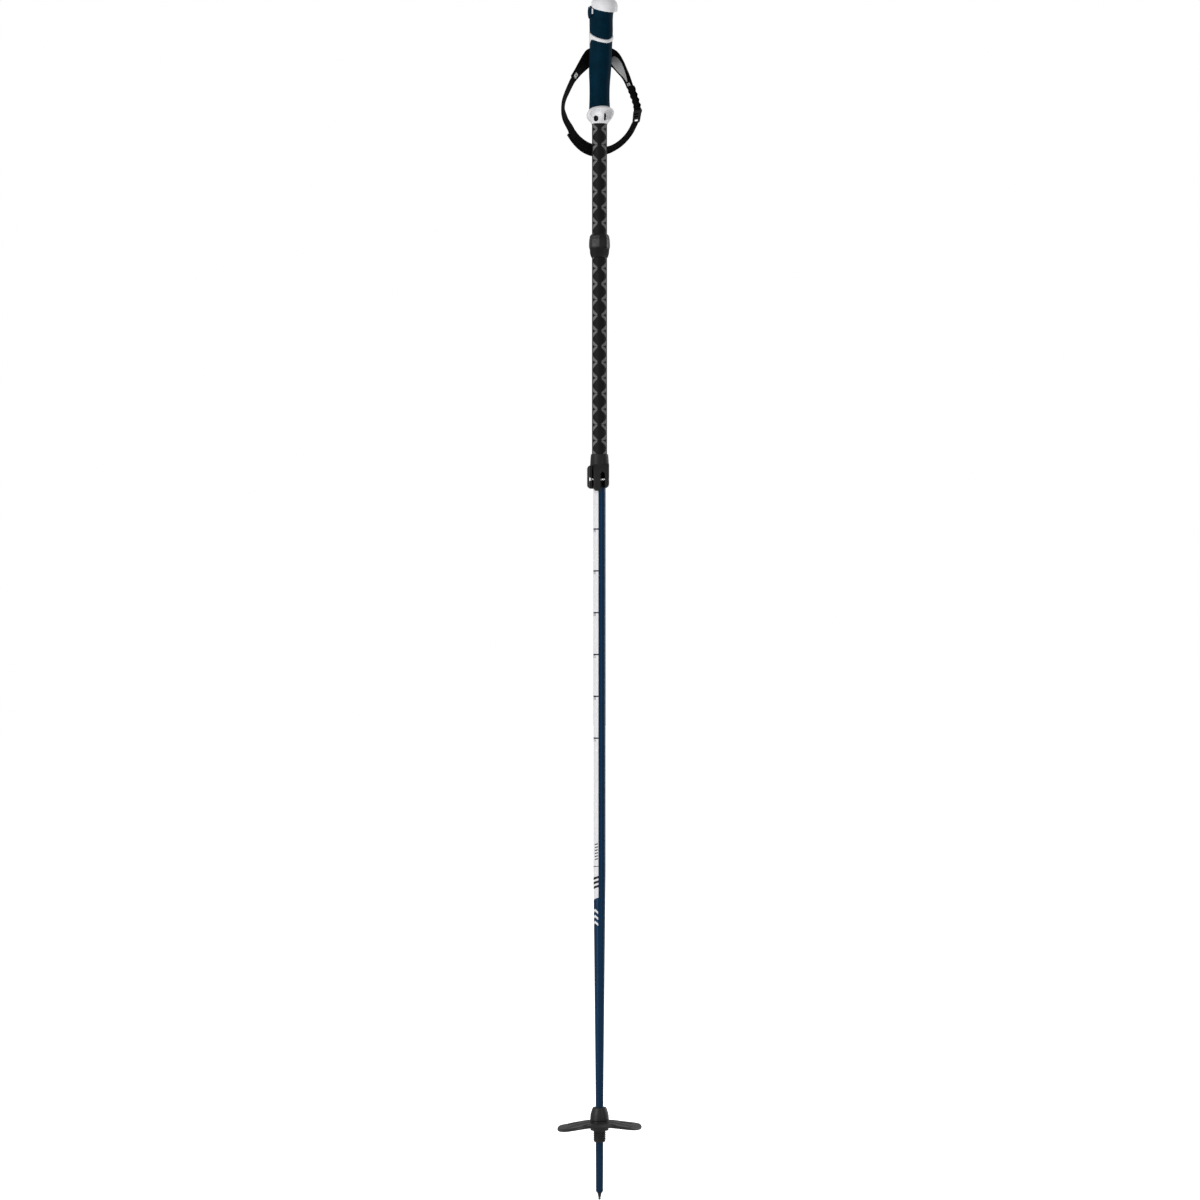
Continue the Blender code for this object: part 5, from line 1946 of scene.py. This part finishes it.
    def folds(self, far: Array) -> Array:
        """Soft folds where the webbing bunches over the buckle: a sine, faded at both ends.

        Args:
            far: Distance along the webbing.

        Returns:
            Height of the folds at each distance.
        """
        fade = smoothstep(far, 3.0, 9.0) * (1.0 - smoothstep(far, 26.0, 30.0))
        return 0.55 * fade * np.sin(TAU * far / self.fold_length)

    def loose_folds(self, far: Array) -> Array:
        """Larger folds of the spare end, all to the outside."""
        return self.folds(far) - 0.35 * (1.0 - np.cos(TAU * far / self.fold_length))

    def build_yoke(self, shop: Workshop) -> None:
        """Build and fit the hanger, the yoke and what is sewn on the yoke.

        Args:
            shop: Workshop that dresses and fits the pieces.
        """
        shop.fit(self.hanger(), Body.STRAP, Slot.BLACK_WEBBING, "strap_hanger")
        yoke = self.yoke()
        shop.fit(yoke.solid("twisted_yoke"), Body.STRAP, Slot.BLACK_WEBBING, "strap_yoke")
        shop.fit(yoke.stitches("yoke_stitches", 1.5), Body.STRAP, Slot.BLACK_WEBBING)
        height = self.yoke_thickness / 2 + 0.55
        leaf = yoke.lifted(height, 0.585, 0.905, (7.0, 11.4, 12.4, 11.0, 8.4, 5.0, 1.4))
        lining = Band(leaf, 0.5, 70, 5.0)
        shop.fit(lining.solid("leaf_lining"), Body.STRAP, Slot.SILVER_LINING, "yoke_lining")
        for side, start, end in (("left", 0.03, 0.075), ("right", 0.93, 0.965)):
            tag = Band(yoke.lifted(height, start, end, (6.0, 6.2, 6.0), 1.2), 0.6, 20, 6.0)
            shop.fit(tag.solid(f"{side}_tag"), Body.STRAP, Slot.WHITE_PRINT, f"badge_{side}")
            centre, _, _, normal = tag.frames()
            dot = ellipsoid(centre[10] + normal[10] * 0.3, (0.8, 0.45, 0.8), 12, 24)
            shop.fit(skin(f"{side}_tag_dot", dot), Body.STRAP, Slot.BLACK_RUBBER)

    def build(self, shop: Workshop) -> None:
        """Build and fit the strap's pieces, from the yoke round to the buckle.

        Args:
            shop: Workshop that dresses and fits the pieces.
        """
        black = Slot.BLACK_WEBBING
        self.build_yoke(shop)
        shop.fit(self.left_webbing().solid("left_webbing"), Body.STRAP, black, "webbing_left")
        pad, right = self.pad(), self.right_webbing()
        shop.fit(pad.solid("wrist_cushion"), Body.STRAP, black, "wrist_pad")
        shop.fit(pad.stitches("pad_stitches", 1.8), Body.STRAP, black)
        shop.fit(self.lower_webbing().solid("lower_webbing"), Body.STRAP, black, "webbing_lower")
        shop.fit(right.solid("right_webbing", self.folds), Body.STRAP, black, "webbing_right")
        tail = Band(right.lifted(-2.0, 0.1, 0.72, (11.6,) * 5), self.webbing, 100)
        shop.fit(tail.solid("spare_end", self.loose_folds), Body.STRAP, black, "webbing_tail")
        shop.fit(self.buckle(), Body.STRAP, Slot.CHARCOAL_PLASTIC, "ladder_buckle", crease=60.0)


# ---- studio -------------------------------------------------------------------------


@dataclass
class Studio:
    """Pale floor, white surround, soft lights and the camera, in metres."""

    azimuth: float = -22.0
    distance: float = 4.0
    eye_z: float = 0.725
    aside: float = 0.0006
    half_view: float = 0.7256
    sensor: float = 36.0
    floor_z: float = -0.0006
    floor_half: float = 14.0
    surround: float = 0.42

    def spot(self, ahead: float, aside: float, height: float) -> Array:
        """Place in the studio.

        It is ahead (sin a, -cos a) + aside (cos a, sin a) in the plane, a being the azimuth.

        Args:
            ahead: Distance from the pole towards the camera.
            aside: Distance to the camera's right.
            height: Height over the ground.

        Returns:
            The place as x, y and z.
        """
        s, c = math.sin(math.radians(self.azimuth)), math.cos(math.radians(self.azimuth))
        return np.array([ahead * s + aside * c, aside * s - ahead * c, height])

    def camera(self) -> None:
        """Level camera at the middle of the pole's height; its lens takes in twice half_view there."""
        lens = bpy.data.cameras.new("camera")
        lens.sensor_width = self.sensor
        lens.lens = self.sensor / 2 * self.distance / self.half_view
        lens.clip_start, lens.clip_end = 0.05, 100.0
        camera = linked("camera", lens)
        camera.location = self.spot(self.distance, self.aside, self.eye_z)
        camera.rotation_euler = (math.pi / 2, 0.0, math.radians(self.azimuth))
        bpy.context.scene.camera = camera

    def world(self) -> None:
        """White surround: full white where it is seen, softer where it lights the pole."""
        world = bpy.data.worlds.new("surround")
        world.use_nodes = True
        bpy.context.scene.world = world
        tree = world.node_tree
        background = tree.nodes["Background"]
        background.inputs["Color"].default_value = (1.0, 1.0, 1.0, 1.0)
        path = tree.nodes.new("ShaderNodeLightPath")
        strength = tree.nodes.new("ShaderNodeMapRange")
        strength.inputs["To Min"].default_value = self.surround
        strength.inputs["To Max"].default_value = 1.0
        tree.links.new(path.outputs["Is Camera Ray"], strength.inputs["Value"])
        tree.links.new(strength.outputs[0], background.inputs["Strength"])

    def floor(self) -> None:
        """Wide pale floor with a faint unevenness."""
        half, z = self.floor_half, self.floor_z
        corners = [(-half, -half, z), (half, -half, z), (half, half, z), (-half, half, z)]
        mesh = bpy.data.meshes.new("floor")
        mesh.from_pydata(corners, [], [(0, 1, 2, 3)])
        floor = linked("floor", mesh)
        nodes = Nodes("pale_floor")
        speck = nodes.noise(nodes.place(), 0.004, 3.0)
        colour = nodes.blend(speck, (0.88, 0.88, 0.88), (0.92, 0.92, 0.92))
        seen = nodes.add("LightPath").outputs["Is Camera Ray"]
        nodes.feed(nodes.shader, {"Emission Color": (1.0, 1.0, 1.0, 1.0), "Emission Strength": seen,
                                  "Specular IOR Level": 0.0})
        mesh.materials.append(nodes.wire(colour, 0.9, None, 0.0))

    def softbox(self, name: str, ahead: float, aside: float, height: float, size: Tuple[float, float],
                power: float) -> None:
        """Rectangular area light that faces the pole.

        Args:
            name: Name of the light.
            ahead: Distance towards the camera.
            aside: Distance to the camera's right.
            height: Height of its middle.
            size: Width and height.
            power: Power in watts.
        """
        light = bpy.data.lights.new(name, "AREA")
        light.shape = "RECTANGLE"
        light.size, light.size_y = size
        light.energy = power
        lamp = linked(name, light)
        place = self.spot(ahead, aside, height)
        lamp.location = place
        pitch = math.atan2(height - self.eye_z, math.hypot(ahead, aside))
        lamp.rotation_euler = (math.pi / 2 - pitch, 0.0, math.atan2(place[0], -place[1]))

    def build(self) -> None:
        """Set up the whole studio."""
        bpy.context.scene.view_settings.view_transform = "Standard"
        self.camera()
        self.world()
        self.floor()
        self.softbox("key_box", 1.5, -1.7, 1.1, (0.5, 2.2), 24.0)
        self.softbox("fill_box", 2.2, 1.6, 0.9, (0.9, 2.0), 5.0)
        self.softbox("rim_box", -0.9, 1.5, 0.9, (0.35, 2.2), 10.0)


# ---- assembly -----------------------------------------------------------------------


def main() -> None:
    """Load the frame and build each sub-assembly round it."""
    logging.basicConfig(level=logging.INFO, format="%(name)s %(message)s")
    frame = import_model()
    Studio().build()
    shop = Workshop(frame)
    parts = (
        Tip(), LowerShaft(), BasketCollar(), Basket(),
        LatticeTube("sleeve_lower", "shaft_sleeve_lower", 901.2, 1139.0, 1125.4),
        LatticeTube("sleeve_upper", "shaft_sleeve_upper", 1167.25, 1300.35, 1199.0),
        SleeveCollar(), LengthLock(), Grip(), StrapAnchor(), Strap(),
    )
    for part in parts:
        part.build(shop)
        log.info("%s done", type(part).__name__)


if __name__ == "__main__":
    main()
